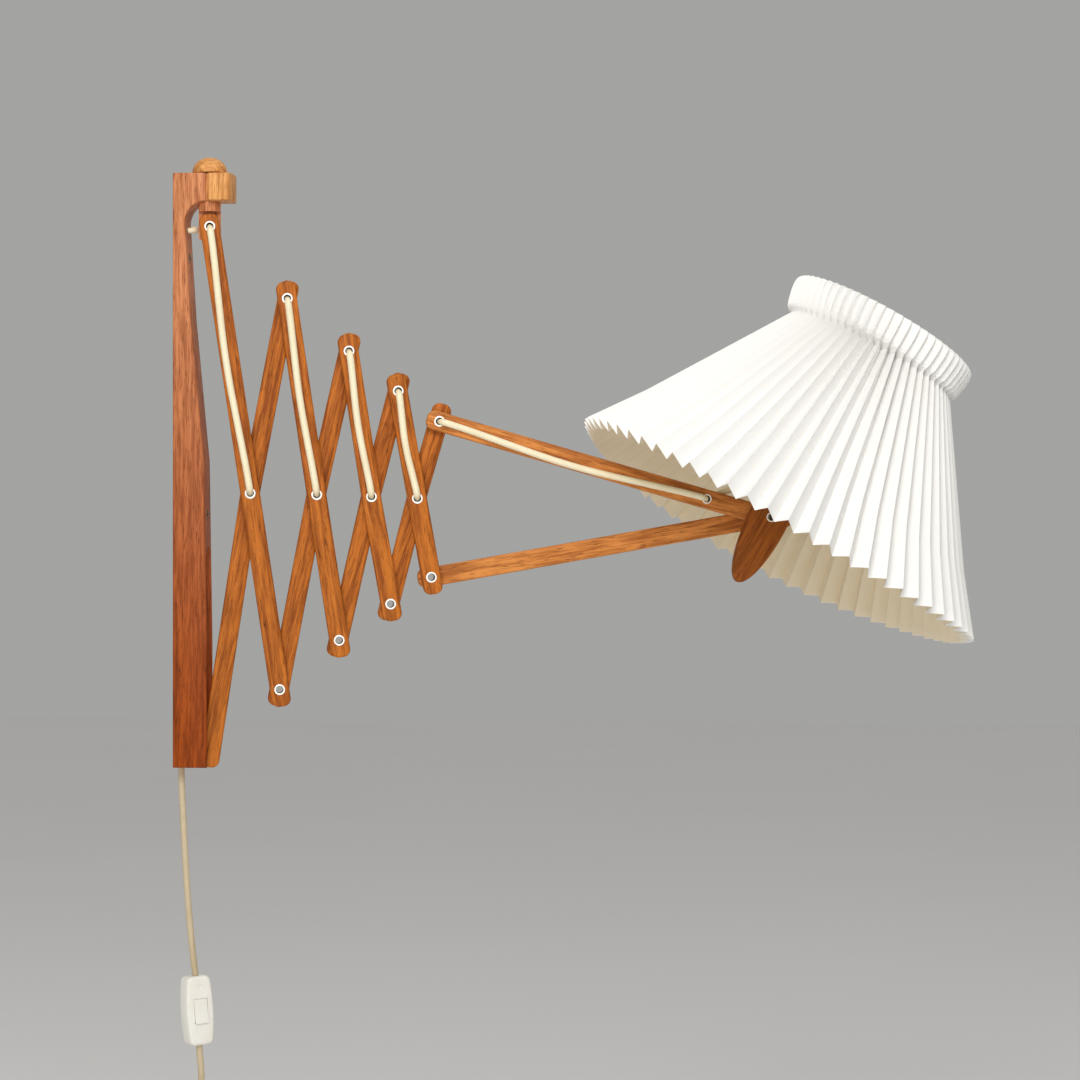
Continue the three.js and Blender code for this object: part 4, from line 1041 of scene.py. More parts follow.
@dataclass
class MainsLead:
    """The lead under the board: to the switch, on to the coil, and to the plug.

    The points of a route say how far the lead is out from its place at the board, and how far
    below the board's middle.
    """

    switch: "InlineSwitch"
    radius: float = 3.0
    wall_x: float = 3.4
    side_y: float = 8.0
    route: Sequence[Pair] = (
        (0.0, 274.95), (0.3, 290), (1.6, 320), (3.7, 360), (6.2, 399), (9.4, 435), (12.1, 460),
    )
    lower_route: Sequence[Pair] = (
        (17.5, 543), (18.6, 556), (18.8, 570), (17.4, 584), (14.6, 598), (10.9, 611), (8.6, 620),
    )
    route_steps: int = 4
    end_gap: float = 0.3
    end_run: float = 3.0
    coil_turns: int = 6
    coil_steps: int = 40
    coil_inner: float = 24.9
    coil_pitch: float = 6.7
    coil_change: float = 0.5
    coil_height: float = 629.0
    coil_gap: float = 2.1
    plug_x: float = 7.1
    plug_drop: float = 30.0
    plug_falls: Point = (1.5, 2.75, 4.0)
    plug_steps: int = 3
    bevel: int = 5
    paths: Sequence[list[Vector]] = ()

    def switch_end(self, sign: int) -> Vector:
        """The lead's end above or below the switch."""
        tilt, reach = self.switch.tilt_degrees, self.switch.length / 2 + self.end_gap
        end = Vector((-sign * reach * sine(tilt), 0, sign * reach * cosine(tilt)))
        return Vector(self.switch.place) + end

    def point(self, out: float, depth: float) -> Vector:
        """A point of a route, in the lamp's frame."""
        return Vector((self.wall_x + out, self.side_y, -depth))

    def upper_path(self) -> list[Vector]:
        """From the board's lower end to the switch."""
        tilt, end = self.switch.tilt_degrees, self.switch_end(1)
        near = end + Vector((-sine(tilt), 0, cosine(tilt))) * self.end_run
        route = [self.point(out, depth) for out, depth in self.route]
        return smooth_path([*route, near, end], self.route_steps)

    def coil_point(self, turns: float) -> Vector:
        """A point of the coil, which spirals in, climbs a layer and spirals out.

        Args:
            turns: How many turns the lead has made so far.

        Returns:
            The point, in the lamp's frame.
        """
        middle = self.coil_turns / 2
        radius = self.coil_inner + self.coil_pitch * abs(turns - middle)
        climbed = (turns - middle + self.coil_change / 2) / self.coil_change
        t = max(0.0, min(1.0, climbed))
        rise = t * t * (3 - 2 * t)
        back = self.wall_x + self.coil_gap
        front = back + self.coil_pitch
        centre = self.side_y - self.coil_inner - middle * self.coil_pitch
        angle = -2 * pi * turns
        y, z = centre + radius * cos(angle), -self.coil_height + radius * sin(angle)
        return Vector((front + (back - front) * rise, y, z))

    def lower_path(self) -> list[Vector]:
        """From the switch through the coil to the plug."""
        back = self.wall_x + self.coil_gap
        front = back + self.coil_pitch
        width = self.radius * 2
        y, z = self.side_y, -self.coil_height
        start = [self.switch_end(-1), *(self.point(x, d) for x, d in self.lower_route)]
        start += [Vector((front, y, z + width))]
        steps = self.coil_steps
        coil = [self.coil_point(k / steps) for k in range(self.coil_turns * steps + 1)]
        across = (back, (back + self.plug_x) / 2, self.plug_x)
        end = [coil[-1]]
        end += [Vector((x, y, z - width * fall)) for x, fall in zip(across, self.plug_falls)]
        end += [Vector((self.plug_x, y, z - self.plug_drop))]
        run = smooth_path(start, self.route_steps) + coil
        return run + smooth_path(end, self.plug_steps)[1:]

    def curve(self, name: str, path: list[Vector], look: Material) -> Object:
        """A round curve of the lead's thickness along a path."""
        data = bpy.data.curves.new(name, "CURVE")
        data.dimensions = "3D"
        data.bevel_depth = self.radius * MM
        data.bevel_resolution = self.bevel
        data.use_fill_caps = True
        spline = data.splines.new("POLY")
        spline.points.add(len(path) - 1)
        for point, place in zip(spline.points, path):
            point.co = (*(place * MM), 1.0)
        spline.use_smooth = True
        data.materials.append(look)
        made = bpy.data.objects.new(name, data)
        bpy.context.scene.collection.objects.link(made)
        return made

    @staticmethod
    def length(path: Sequence[Vector]) -> float:
        """The length of a path, in metres."""
        return sum((b - a).length for a, b in zip(path, path[1:])) * MM

    def make(self, shop: Workshop, look: Palette) -> tuple[Object, Object]:
        """Makes both stretches of the free lead."""
        self.paths = (self.upper_path(), self.lower_path())
        upper = self.curve("lead_to_switch", self.paths[0], look.beige)
        lower = self.curve("lead_to_plug", self.paths[1], look.beige)
        shop.join(upper, "wall_unit", ["lead_upper"])
        shop.join(lower, "wall_unit", ["lead_lower", "lead_coil"])
        return upper, lower

    def declare(
        self,
    ) -> None:
        """Works out each stretch's start, length and width, and keeps none of them.
        """
        tuple(self.paths[0][0] * MM)
        round(self.length(self.paths[0]), 4)
        self.radius * 2 * MM
        tuple(self.paths[1][0] * MM)
        round(self.length(self.paths[1]), 4)
        self.radius * 2 * MM


@dataclass
class InlineSwitch:
    """The switch on the lead: a base, a cover and a rocker."""

    place: Point = (18.4, 8.0, -501.6)
    turn_degrees: float = 37.3
    tilt_degrees: float = 3.3
    length: float = 64.0
    width: float = 27.2
    bow: float = 2.4
    depth: float = 17.5
    corner: float = 5.5
    seam: float = 0.15
    base_lap: float = 3.0
    base_edge: float = 1.8
    cover_lap: float = 4.0
    cover_edge: float = 3.2
    sink_radius: float = 2.1
    sink_depth: float = 1.1
    sink_height: float = 22.5
    rim_width: float = 1.6
    rim_corner: float = 1.5
    rim_proud: float = 0.02
    rim_root: float = 1.0
    rim_edge: float = 0.4
    rocker_length: float = 22.0
    rocker_width: float = 13.0
    rocker_rise: float = 2.2
    rocker_curve: Point = (0.40, -0.98, 0.1)
    rocker_ends: Pair = (2.6, 0.9)
    rocker_edge: float = 0.5
    rocker_depth: float = 7.0
    rocker_gap: float = 0.4
    rocker_tilt: float = 5.0

    def matrix(self) -> Matrix:
        """The switch's own axes."""
        return shift(*self.place) @ turn(-self.tilt_degrees, "Y") @ turn(self.turn_degrees, "Z")

    def shell(self, low: float, high: float, edge: float) -> Form:
        """The housing's barrel-shaped outline with a thickness and rounded edges."""
        half, long = self.width / 2, self.length / 2
        side = [(half - self.bow * (k / 7) ** 2, long * k / 7, 0.0) for k in range(-5, 6)]
        narrow = half - self.bow
        right = [(narrow, -long, self.corner), *side, (narrow, long, self.corner)]
        left = [(-x, z, radius) for x, z, radius in reversed(right)]
        return Form.slab(rounded([*right, *left]), low, high, edge, 4)

    def base(self) -> Mesh:
        """The half towards the wall."""
        beyond = self.length
        front = Form.block((-beyond, beyond), (-beyond, self.seam), (-beyond, beyond))
        shell = self.shell(self.seam - self.base_lap, self.depth / 2, self.base_edge)
        return shape("base", shell, [(Part.REMOVE, front)])

    def cover(self) -> Mesh:
        """The front half, with the rocker's rimmed well and the sink above it."""
        beyond, face = self.length, -self.depth / 2
        rear = Form.block((-beyond, beyond), (-self.seam, beyond), (-beyond, beyond))
        wide, long = self.rocker_width / 2, self.rocker_length / 2
        side, end = wide + self.rocker_gap, long + self.rocker_gap
        well = Form.block((-side, side), (face - PAST, face + self.rocker_depth), (-end, end))
        sink = rod("Y", self.sink_radius, face - 1, face + self.sink_depth)
        sink = sink.placed(shift(0, 0, self.sink_height))
        side, end = wide + self.rim_width, long + self.rim_width
        outline = plate((-side, -end), (side, end), self.rim_corner, 3)
        rim = Form.slab(outline, face - self.rim_proud, face + self.rim_root, self.rim_edge, 2)
        shell = self.shell(face, self.cover_lap, self.cover_edge)
        cutters = [(Part.REMOVE, rear), (Part.ADD, rim), (Part.REMOVE, well), (Part.REMOVE, sink)]
        return shape("cover", shell, cutters)

    def rocker(self) -> Mesh:
        """The rocker, whose lower end stands proud."""
        wide, long, rise = self.rocker_width / 2, self.rocker_length / 2, self.rocker_rise
        level, lean, bend = self.rocker_curve
        shares = [k / 8 for k in range(-8, 9)]
        outline = [(long * s, -rise * (level + lean * s + bend * s**2)) for s in shares]
        deep = self.rocker_depth - self.rocker_gap - rise
        outline += [(long, self.rocker_ends[0]), (0, deep), (-long, self.rocker_ends[1])]
        across = Matrix(((0, 1, 0, 0), (0, 0, 1, 0), (1, 0, 0, 0), (0, 0, 0, 1)))
        return shape("rocker", Form.slab(outline, -wide, wide, self.rocker_edge, 3).placed(across))

    def make(self, shop: Workshop, look: Palette) -> list[Object]:
        """Makes the three pieces."""
        at, face = self.matrix(), shift(0, -self.depth / 2, 0)
        seat = at @ face @ turn(self.rocker_tilt, "X")
        parts = [
            ("switch_base_shell", self.base(), at, "wall_unit", "switch_base", 32.0),
            ("switch_cover_shell", self.cover(), at, "wall_unit", "switch_cover", 32.0),
            ("switch_rocker_cap", self.rocker(), seat, "rocker", "switch_rocker", 40.0),
        ]
        return [
            shop.piece(name, mesh, at, look.white, body, "white_plastic", [node], sharp=sharp)
            for name, mesh, at, body, node, sharp in parts
        ]


@dataclass
class PlugAndTie:
    """The plug with its strain relief and pins, and the tie round the coil.

    The steps of a rib, of a pin's tip and of its sleeve are pairs of a radius and a height.
    """

    lead: MainsLead
    gap: float = 0.3
    relief_length: float = 26.0
    relief_radius: float = 6.2
    relief_wall: float = 0.6
    relief_root: float = 2.0
    ribs: int = 7
    rib: Sequence[Pair] = ((0.0, -1.2), (0.0, -0.2), (-0.7, 0.1), (-0.75, 2.2))
    length: float = 36.0
    width: float = 34.0
    neck: float = 18.0
    thickness: float = 13.6
    edge: float = 3.2
    corner: float = 4.0
    shoulder: float = 7.0
    pin_radius: float = 2.0
    pin_length: float = 19.0
    pin_spacing: float = 19.0
    pin_tip: Sequence[Pair] = ((0.0, 0.0), (1.2, 0.1), (1.8, 0.9), (2.0, 2.0))
    pin_sleeve: Sequence[Pair] = ((0.0, 8.0), (0.15, 7.8), (0.15, 0.0))
    tie_wall: float = 1.2
    tie_corners: Pair = (2.2, 1.2)
    tie_edge: float = 0.4

    def relief(self) -> Form:
        """The ribbed strain relief, which tapers to the lead."""
        taper = self.lead.radius + self.relief_wall - self.relief_radius
        profile: list[Pair] = [(0, -self.relief_length - self.relief_root)]
        for k in range(self.ribs):
            share = k / self.ribs
            height = -self.relief_length * (1 - share)
            radius = self.relief_radius + taper * share
            profile += [(radius + out, height + up) for out, up in self.rib]
        radius = self.relief_radius + taper
        profile += [(radius, self.rib[0][1]), (radius, 0), (0, 0)]
        return Form.turned(climbing(profile), 32)

    def body(self) -> Mesh:
        """The plug's body, which widens from its neck, with the relief."""
        half, neck, low = self.width / 2, self.neck / 2, -self.relief_length
        wide, foot = low - self.length / 3, low - self.length
        corner, shoulder = self.corner, self.shoulder
        left = [(-neck, low, corner), (-half, wide, shoulder), (-half, foot, corner)]
        right = [(-x, z, radius) for x, z, radius in reversed(left)]
        thick = self.thickness / 2
        block = Form.slab(rounded([*left, *right]), -thick, thick, self.edge, 4)
        return shape("plug", block, [(Part.ADD, self.relief())])

    def pin(self, face: float) -> Form:
        """A round pin below the plug's face."""
        tip = face - self.pin_length
        profile = [(radius, tip + height) for radius, height in self.pin_tip]
        profile += [(self.pin_radius - step, face - drop) for step, drop in self.pin_sleeve]
        return Form.turned([*profile, (0, face)], 32)

    def make(self, shop: Workshop, look: Palette) -> list[Object]:
        """Makes the plug, its pins and the tie."""
        lead = self.lead
        place = shift(lead.plug_x, lead.side_y, -lead.coil_height - lead.plug_drop - self.gap)
        at, word = place @ turn(90, "Z"), "white_plastic"
        pieces = [
            shop.piece("plug_shell", self.body(), at, look.white, "wall_unit", word, ["plug_body"])
        ]
        pin = self.pin(-self.relief_length - self.length - self.gap)
        for i, side in enumerate((-1, 1), 1):
            at, mesh = place @ shift(0, side * self.pin_spacing / 2, 0), shape("pin", pin)
            nodes = [f"plug_pin_{i}"]
            pieces.append(
                shop.piece(f"plug_prong_{i}", mesh, at, look.cap, "wall_unit", "cap_metal", nodes)
            )
        pieces.append(self.make_tie(shop, look))
        return pieces

    def make_tie(self, shop: Workshop, look: Palette) -> Object:
        """The band that holds the coil's turns together."""
        low, high = (Vector(corner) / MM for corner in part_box("coil_tie"))
        wall, (outer, inner) = self.tie_wall, self.tie_corners
        ring = plate((low.x, low.y), (high.x, high.y), outer)
        bore = plate((low.x + wall, low.y + wall), (high.x - wall, high.y - wall), inner)
        upright = turn(-90, "X")
        band = Form.slab(ring, -high.z, -low.z, self.tie_edge, 2).placed(upright)
        hole = Form.slab(bore, -high.z - PAST, -low.z + PAST, 0, 1).placed(upright)
        mesh, at = shape("tie", band, [(Part.REMOVE, hole)]), Matrix.Identity(4)
        return shop.piece(
            "coil_band", mesh, at, look.white, "wall_unit", "white_plastic", ["coil_tie"]
        )


def climbing(profile: Sequence[Pair]) -> list[Pair]:
    """A turned profile whose heights never step back."""
    result: list[Pair] = []
    highest = -math.inf
    for radius, height in profile:
        highest = max(highest, height)
        result.append((radius, highest))
    return result


# ---------- the board


@dataclass
class WallBoard:
    """The long shaped board on the wall, its nose block and its screws.

    Heights of the foot, the waist, the shoulder and the screws are above the board's lower end;
    those of the channel and of the entry are above its middle.
    """

    link: "Linkage"
    height: float = 549.6
    width: float = 28.0
    foot_depth: float = 31.8
    foot_height: float = 117.8
    waist_depth: float = 29.2
    waist_height: float = 283.8
    shoulder_depth: float = 16.9
    shoulder_height: float = 413.3
    neck_depth: float = 11.3
    head: float = 26.0
    seam: float = 31.2
    edge: float = 1.2
    nose_depth: float = 24.0
    nose_side: float = 21.5
    nose_width: float = 34.0
    nose_height: float = 25.4
    nose_edge: float = 1.2
    slot_width: float = 2.2
    slot_back: float = 2.0
    bore: float = 10.5
    groove: float = 11.6
    groove_length: float = 204.0
    channel_depth: float = 7.0
    channel_sides: Pair = (4.5, 11.5)
    channel_top: float = 212.5
    bend_heights: Pair = (205.5, 225.9)
    entry_height: float = 222.4
    entry_radius: float = 3.5
    screw_heights: Pair = (472.0, 234.5)
    screw_radius: float = 4.2
    screw_shank: float = 1.8
    screw_start: float = 2.0
    screw_rim: float = 0.28
    screw_top: float = 2.0
    screw_dome: float = 5.9
    screw_dome_centre: float = -3.9
    screw_gap: float = 0.15
    screw_turn: float = 25.0
    sink_depth: float = 1.0
    sink_radii: Pair = (2.1, 4.5)

    def front(self, height: float) -> float:
        """Depth of the board's front at a height above its lower end."""
        places = [
            (0.0, self.foot_depth), (self.foot_height, self.foot_depth),
            (self.waist_height, self.waist_depth), (self.shoulder_height, self.shoulder_depth),
            (self.height - self.head - self.seam + self.neck_depth, self.neck_depth),
        ]
        for (low, near), (high, far) in zip(places, places[1:]):
            if height <= high:
                return near + (far - near) * (height - low) / (high - low)
        return self.neck_depth

    def outline(self) -> list[Pair]:
        """The board seen from the side."""
        low, top = -self.height / 2, self.height / 2
        under, cove = top - self.head, self.seam - self.neck_depth
        corners: list[Pair] = [
            (0, low), (self.foot_depth, low), (self.foot_depth, low + self.foot_height),
            (self.waist_depth, low + self.waist_height),
            (self.shoulder_depth, low + self.shoulder_height),
        ]
        corners += arc((self.seam, under - cove), cove, 180, 90, 20)
        return corners + [(self.seam, top), (0, top)]

    def foot_groove(self) -> Form:
        """What is cut out for the foot of the first back bar, with a round upper end."""
        low, radius = -self.height / 2, self.groove
        crown = low + self.groove_length
        profile = [(0, low - PAST), (radius, low - PAST), (radius, crown - radius)]
        profile += arc((0, crown - radius), radius, 0, 90, 8)[1:-1] + [(0, crown)]
        return Form.turned(profile, 48).placed(shift(self.link.post_x, 0, 0))

    def make(self, shop: Workshop, look: Palette) -> None:
        """Makes the board, the nose block and the screws, and dresses the lead in the board."""
        half, low, top = self.width / 2, -self.height / 2, self.height / 2
        bore = rod("Z", self.bore, top - self.head - PAST, top + PAST, 48)
        bore = bore.placed(shift(self.link.post_x, 0, 0))
        depth = (-PAST, self.channel_depth)
        channel = Form.block(depth, self.channel_sides, (low - PAST, self.channel_top))
        bend = Form.block(depth, (-self.entry_radius, self.channel_sides[1]), self.bend_heights)
        entry = rod("X", self.entry_radius, -PAST, self.seam)
        entry = entry.placed(shift(0, 0, self.entry_height))
        cutters = [
            (Part.REMOVE, form) for form in (bore, self.foot_groove(), channel, bend, entry)
        ]
        for height in self.screw_heights:
            seat = self.front(height) - self.sink_depth
            for radius, start in zip(self.sink_radii, (-PAST, seat)):
                hole = rod("X", radius, start, self.foot_depth + PAST)
                cutters.append((Part.REMOVE, hole.placed(shift(0, 0, low + height))))
        mesh = shape("board", Form.slab(self.outline(), -half, half, self.edge, 3), cutters)
        at, wood = Matrix.Identity(4), look.board_wood
        shop.piece(
            "board_wood_piece", mesh, at, wood, "wall_unit", "wood", ["wall_board"], Along.Z
        )
        self.make_nose(shop, look, bore)
        for name, height in zip(("upper", "lower"), self.screw_heights):
            self.make_screw(shop, look, name, height)
        lead = bpy.data.objects.get("channel_lead")
        if lead is not None:
            lead.data.materials.clear()
            lead.data.materials.append(look.beige)

    def make_nose(self, shop: Workshop, look: Palette, bore: Form) -> None:
        """The block in front of the board's arm, with canted corners and a bowed front."""
        half, top = self.nose_width / 2, self.height / 2
        cant, under = half - self.width / 2, top - self.head
        bow = self.nose_depth - self.nose_side
        outline: list[Pair] = [(0, -half + cant), (cant, -half)]
        outline += [
            (self.nose_side + bow * cosine(a), half * sine(a)) for a in range(-90, 91, 10)
        ]
        outline += [(cant, half), (0, half - cant)]
        stand = Matrix(((1, 0, 0, 0), (0, 0, 1, 0), (0, 1, 0, 0), (0, 0, 0, 1)))
        block = Form.slab(outline, 0, self.nose_height, self.nose_edge, 3).placed(stand)
        cutters = [(Part.REMOVE, bore)]
        across = (self.seam - self.slot_back, self.seam + self.slot_width)
        for side in (-1, 1):
            near, far = sorted((side * (self.width / 2 - self.slot_width), side * self.width))
            slot = Form.block(across, (near, far), (under - PAST, top + PAST))
            cutters.append((Part.REMOVE, slot))
        mesh = shape("nose", block.placed(shift(self.seam, 0, under)), cutters)
        at, wood = Matrix.Identity(4), look.pale_wood
        shop.piece("nose_wood", mesh, at, wood, "wall_unit", "pale_wood", ["nose_block"], Along.Z)

    def make_screw(self, shop: Workshop, look: Palette, name: str, height: float) -> None:
        """A slotted screw with a domed head."""
        seat = self.front(height) - self.sink_depth + self.screw_gap
        start, shank, rim = self.screw_start - seat, self.screw_shank, self.screw_radius
        profile: list[Pair] = [(0, start), (shank, start), (shank, 0), (rim, 0)]
        head = arc((0, self.screw_dome_centre), self.screw_dome, 45, 90, 6)
        profile += [(min(r, rim), max(h, self.screw_rim)) for r, h in head[:-1]]
        slot = Form.block((-0.5, 0.5), (-9, 9), (1.0, 4.0))
        form = Form.turned([*profile, (0, self.screw_top)], 32)
        mesh = shape("screw", form, [(Part.REMOVE, slot)])
        place = shift(seat, 0, -self.height / 2 + height)
        place = place @ turn(90, "Y") @ turn(self.screw_turn, "Z")
        piece, nodes = f"screw_{name}", [f"wall_screw_{name}"]
        shop.piece(piece, mesh, place, look.screw, "wall_unit", "screw_metal", nodes)


# ---------- the scissor


@dataclass
class Linkage:
    """Places and angles of the scissor's pivots, in its own upright plane.

    The pivots along the top are t, those along the middle c and those along the bottom b.
    """

    post_x: float = 32.0
    swing: float = 12.0
    top: float = 225.27
    halves: Sequence[float] = (249.29, 183.75, 136.71, 101.42, 74.66)
    front_leans: Sequence[float] = (8.57, 8.5, 8.77, 10.13, 10.14)
    back_leans: Sequence[float] = (8.57, 10.73, 12.65, 14.2, 16.05)
    arm: float = 324.7
    eyelet: float = 62.5
    t: list[Pair] = field(default_factory=list)
    c: list[Pair] = field(default_factory=list)
    b: list[Pair] = field(default_factory=list)
    end: Pair = (0.0, 0.0)

    def __post_init__(self) -> None:
        """Works out the pivots from the lengths and leans."""
        first, lean = self.halves[0], self.front_leans[0]
        self.t.append((0.0, self.top))
        self.c.append((first * sine(lean), self.top - first * cosine(lean)))
        self.b.append((0.0, self.top - 2 * first * cosine(lean)))
        for k in range(1, len(self.halves)):
            x, z = self.c[k - 1]
            side, front, back = self.halves[k], self.front_leans[k], self.back_leans[k]
            self.t.append((x + side * sine(back), z + side * cosine(back)))
            self.b.append((x + side * sine(front), z - side * cosine(front)))
            self.c.append((self.t[k][0] + self.b[k][0] - x, self.t[k][1] + self.b[k][1] - z))
        (tx, tz), (bx, bz) = self.t[-1], self.b[-1]
        span = math.hypot(tx - bx, tz - bz)
        reach = math.sqrt(self.arm**2 - (span / 2) ** 2)
        self.end = (
            (tx + bx) / 2 + (tz - bz) / span * reach,
            (tz + bz) / 2 - (tx - bx) / span * reach,
        )

    def plane(self) -> Matrix:
        """The scissor's plane in the lamp's frame."""
        return shift(self.post_x, 0, 0) @ turn(self.swing, "Z")

    def at(self, pivot: Pair) -> Matrix:
        """A pivot's axes."""
        return self.plane() @ shift(pivot[0], 0, pivot[1])

    def rise(self, pivot: Pair) -> float:
        """The angle in degrees of the arm from a pivot to the end pivot."""
        return math.degrees(math.atan2(self.end[1] - pivot[1], self.end[0] - pivot[0]))

    def arm_axes(self, pivot: Pair) -> Matrix:
        """The axes of the arm from a pivot to the end pivot; +X runs along it."""
        return self.at(pivot) @ turn(-self.rise(pivot), "Y")


@dataclass(frozen=True)
class RivetSize:
    """The radii of a tubular rivet: of its tube, its bore and its flanges."""

    tube: float
    bore: float
    flange: float


@dataclass
class Scissor:
    """The post, the crossed bars, the two arms and their rivets.

    The post's toe is pairs of a step in from its side and a height above its lower end. The
    spigot and the socket of the knob are pairs of a radius and a depth.
    """

    link: Linkage
    board_top: float = 274.8
    post_radius: float = 10.2
    post_foot: float = 11.8
    post_toe: Sequence[Pair] = ((2.5, 0.0), (0.8, 0.7), (0.0, 2.5))
    lap_above: float = 14.2
    lap_reach: float = 20.0
    spigot: Pair = (4.0, 8.0)
    socket: Pair = (4.3, 8.0)
    knob_gap: float = 0.3
    knob_radius: float = 16.0
    knob_height: float = 14.9
    knob_side: float = 1.2
    knob_edge: float = 0.5
    knob_steps: int = 16
    bar_width: float = 18.0
    bar_thickness: float = 10.0
    layer_gap: float = 0.15
    edge: float = 1.9
    corner: float = 7.0
    over: float = 16.0
    over_first: float = 11.9
    over_back: float = 17.6
    over_arm: float = 12.0
    over_foot: float = 7.6
    foot_round: float = 9.2
    foot_length: float = 172.0
    foot_below: float = 6.0
    foot_reach: float = 30.0
    foot_sides: int = 40
    hole: float = 4.25
    small_hole: float = 4.05
    loose_hole: float = 6.65
    hole_reach: float = 14.0
    plain: RivetSize = RivetSize(4.0, 3.4, 5.05)
    small: RivetSize = RivetSize(3.8, 3.3, 4.6)
    rim: float = 0.7
    rim_edge: float = 0.35
    lip: float = 0.45
    bore_shade_margin: float = 0.25
    fork_gap: float = 0.3
    fork_cheek: float = 8.0

    def bar_outline(self, halves: Pair, kink: float, overs: Pair) -> list[Pair]:
        """A bar's outline, its middle pivot at the origin; what it takes is what bar() takes."""
        half, top, low = self.bar_width / 2, halves[0] + overs[0], -(halves[1] + overs[1])
        lx, lz = sine(kink), cosine(kink)
        joint = half * math.tan(math.radians(kink / 2))
        corners = [
            (half, top, self.corner), (half, joint, 0),
            (low * lx + half * lz, low * lz - half * lx, self.corner),
            (low * lx - half * lz, low * lz + half * lx, self.corner),
            (-half, -joint, 0), (-half, top, self.corner),
        ]
        return rounded(corners, 8)

    def holes(self, places: Sequence[Point]) -> list[tuple[Part, Form]]:
        """Cutters for the rivet holes, each at a place with a radius."""
        reach = self.hole_reach
        return [
            (Part.REMOVE, rod("Y", radius, -reach, reach, 28).placed(shift(x, 0, z)))
            for x, z, radius in places
        ]

    def layer(self, side: Side) -> Pair:
        """The depths between which a layer of bars lies."""
        low, high = sorted((side.value * self.layer_gap, side.value * self.reach()))
        return low, high

    def reach(self) -> float:
        """How far a layer of bars reaches from the scissor's middle plane."""
        return self.layer_gap + self.bar_thickness

    def make_bars(self, shop: Workshop, look: Palette) -> None:
        """Makes the four front and four back bars."""
        link = self.link
        for k in range(1, len(link.halves)):
            inner, outer = link.halves[k - 1], link.halves[k]
            kink = link.front_leans[k - 1] - link.front_leans[k]
            overs = (self.over_first if k == 1 else self.over, self.over)
            mesh = self.bar(Side.FRONT, k, (inner, outer), kink, overs)
            self.hang(shop, look, Side.FRONT, k, mesh, -link.front_leans[k - 1])
            kink = link.back_leans[k - 1] - link.back_leans[k]
            overs = (self.over_back, self.over_foot if k == 1 else self.over)
            mesh = self.bar(Side.BACK, k, (outer, inner), kink, overs)
            self.hang(shop, look, Side.BACK, k, mesh, link.back_leans[k])

    def bar(self, side: Side, k: int, halves: Pair, kink: float, overs: Pair) -> Mesh:
        """The mesh of one bar, its middle pivot at the origin.

        Args:
            side: Its layer.
            k: The number of its pair, from the wall.
            halves: The bar's lengths above and below its middle pivot.
            kink: How far it bends there, in degrees.
            overs: How far it reaches past its upper and its lower pivot.

        Returns:
            The mesh. The first back bar has a rounded foot and no hole there.
        """
        up, down = halves
        places = [(0, up, self.hole), (0, 0, self.hole)]
        foot = side is Side.BACK and k == 1
        if not foot:
            places.append((-down * sine(kink), -down * cosine(kink), self.hole))
        cutters = self.holes(places)
        if foot:
            cutters.append((Part.REMOVE, self.foot_shell(down, kink)))
        form = Form.slab(self.bar_outline(halves, kink, overs), *self.layer(side), self.edge, 4)
        return shape(f"{side.name.lower()}_{k}", form, cutters)

    def hang(
        self, shop: Workshop, look: Palette, side: Side, k: int, mesh: Mesh, lean: float
    ) -> None:
        """Hangs a bar's mesh on its middle pivot, leaning by an angle in degrees."""
        word, place = side.name.lower(), self.link.at(self.link.c[k - 1]) @ turn(lean, "Y")
        name, body, nodes = f"{word}_wood_{k}", f"{word}_{k}", [f"{word}_bar_{k}"]
        shop.piece(name, mesh, place, look.wood, body, "wood", nodes, Along.Z)

    def foot_shell(self, down: float, kink: float) -> Form:
        """What is cut away to round the first back bar's foot: a square block with a round bore."""
        low = -down - self.over_foot - self.foot_below
        high = low + self.foot_length + PAST
        form, sides = Form(), self.foot_sides
        angles = [2 * pi * k / sides for k in range(sides)]
        square = [self.foot_reach / max(abs(cos(a)), abs(sin(a))) for a in angles]
        for radii in (square, [self.foot_round] * sides):
            for z in (low, high):
                form.points += [(r * cos(a), r * sin(a), z) for r, a in zip(radii, angles)]
        o0, o1, i0, i1 = 0, sides, 2 * sides, 3 * sides
        for k in range(sides):
            j = (k + 1) % sides
            form.faces += [
                (o0 + k, o0 + j, o1 + j, o1 + k), (i0 + j, i0 + k, i1 + k, i1 + j),
                (o0 + j, o0 + k, i0 + k, i0 + j), (o1 + k, o1 + j, i1 + j, i1 + k),
            ]
        return form.placed(turn(kink, "Y"))

    def make_arms(self, shop: Workshop, look: Palette) -> None:
        """Makes the two long arms."""
        link = self.link
        half, length = self.bar_width / 2, link.arm
        outline = plate((-self.over_arm, -half), (length + self.over, half), self.corner, 8)
        start, eyelet = (0, 0, self.hole), (length - link.eyelet, 0, self.small_hole)
        arms = [
            ("upper", link.t[-1], Side.FRONT, [start, eyelet, (length, 0, self.small_hole)]),
            ("lower", link.b[-1], Side.BACK, [start, (length, 0, self.loose_hole)]),
        ]
        for name, pivot, side, places in arms:
            form = Form.slab(outline, *self.layer(side), self.edge, 4)
            mesh, place = shape(name, form, self.holes(places)), link.arm_axes(pivot)
            piece, nodes = f"{name}_arm_wood", [f"{name}_arm"]
            shop.piece(piece, mesh, place, look.arm_wood, name, "wood", nodes, Along.X)

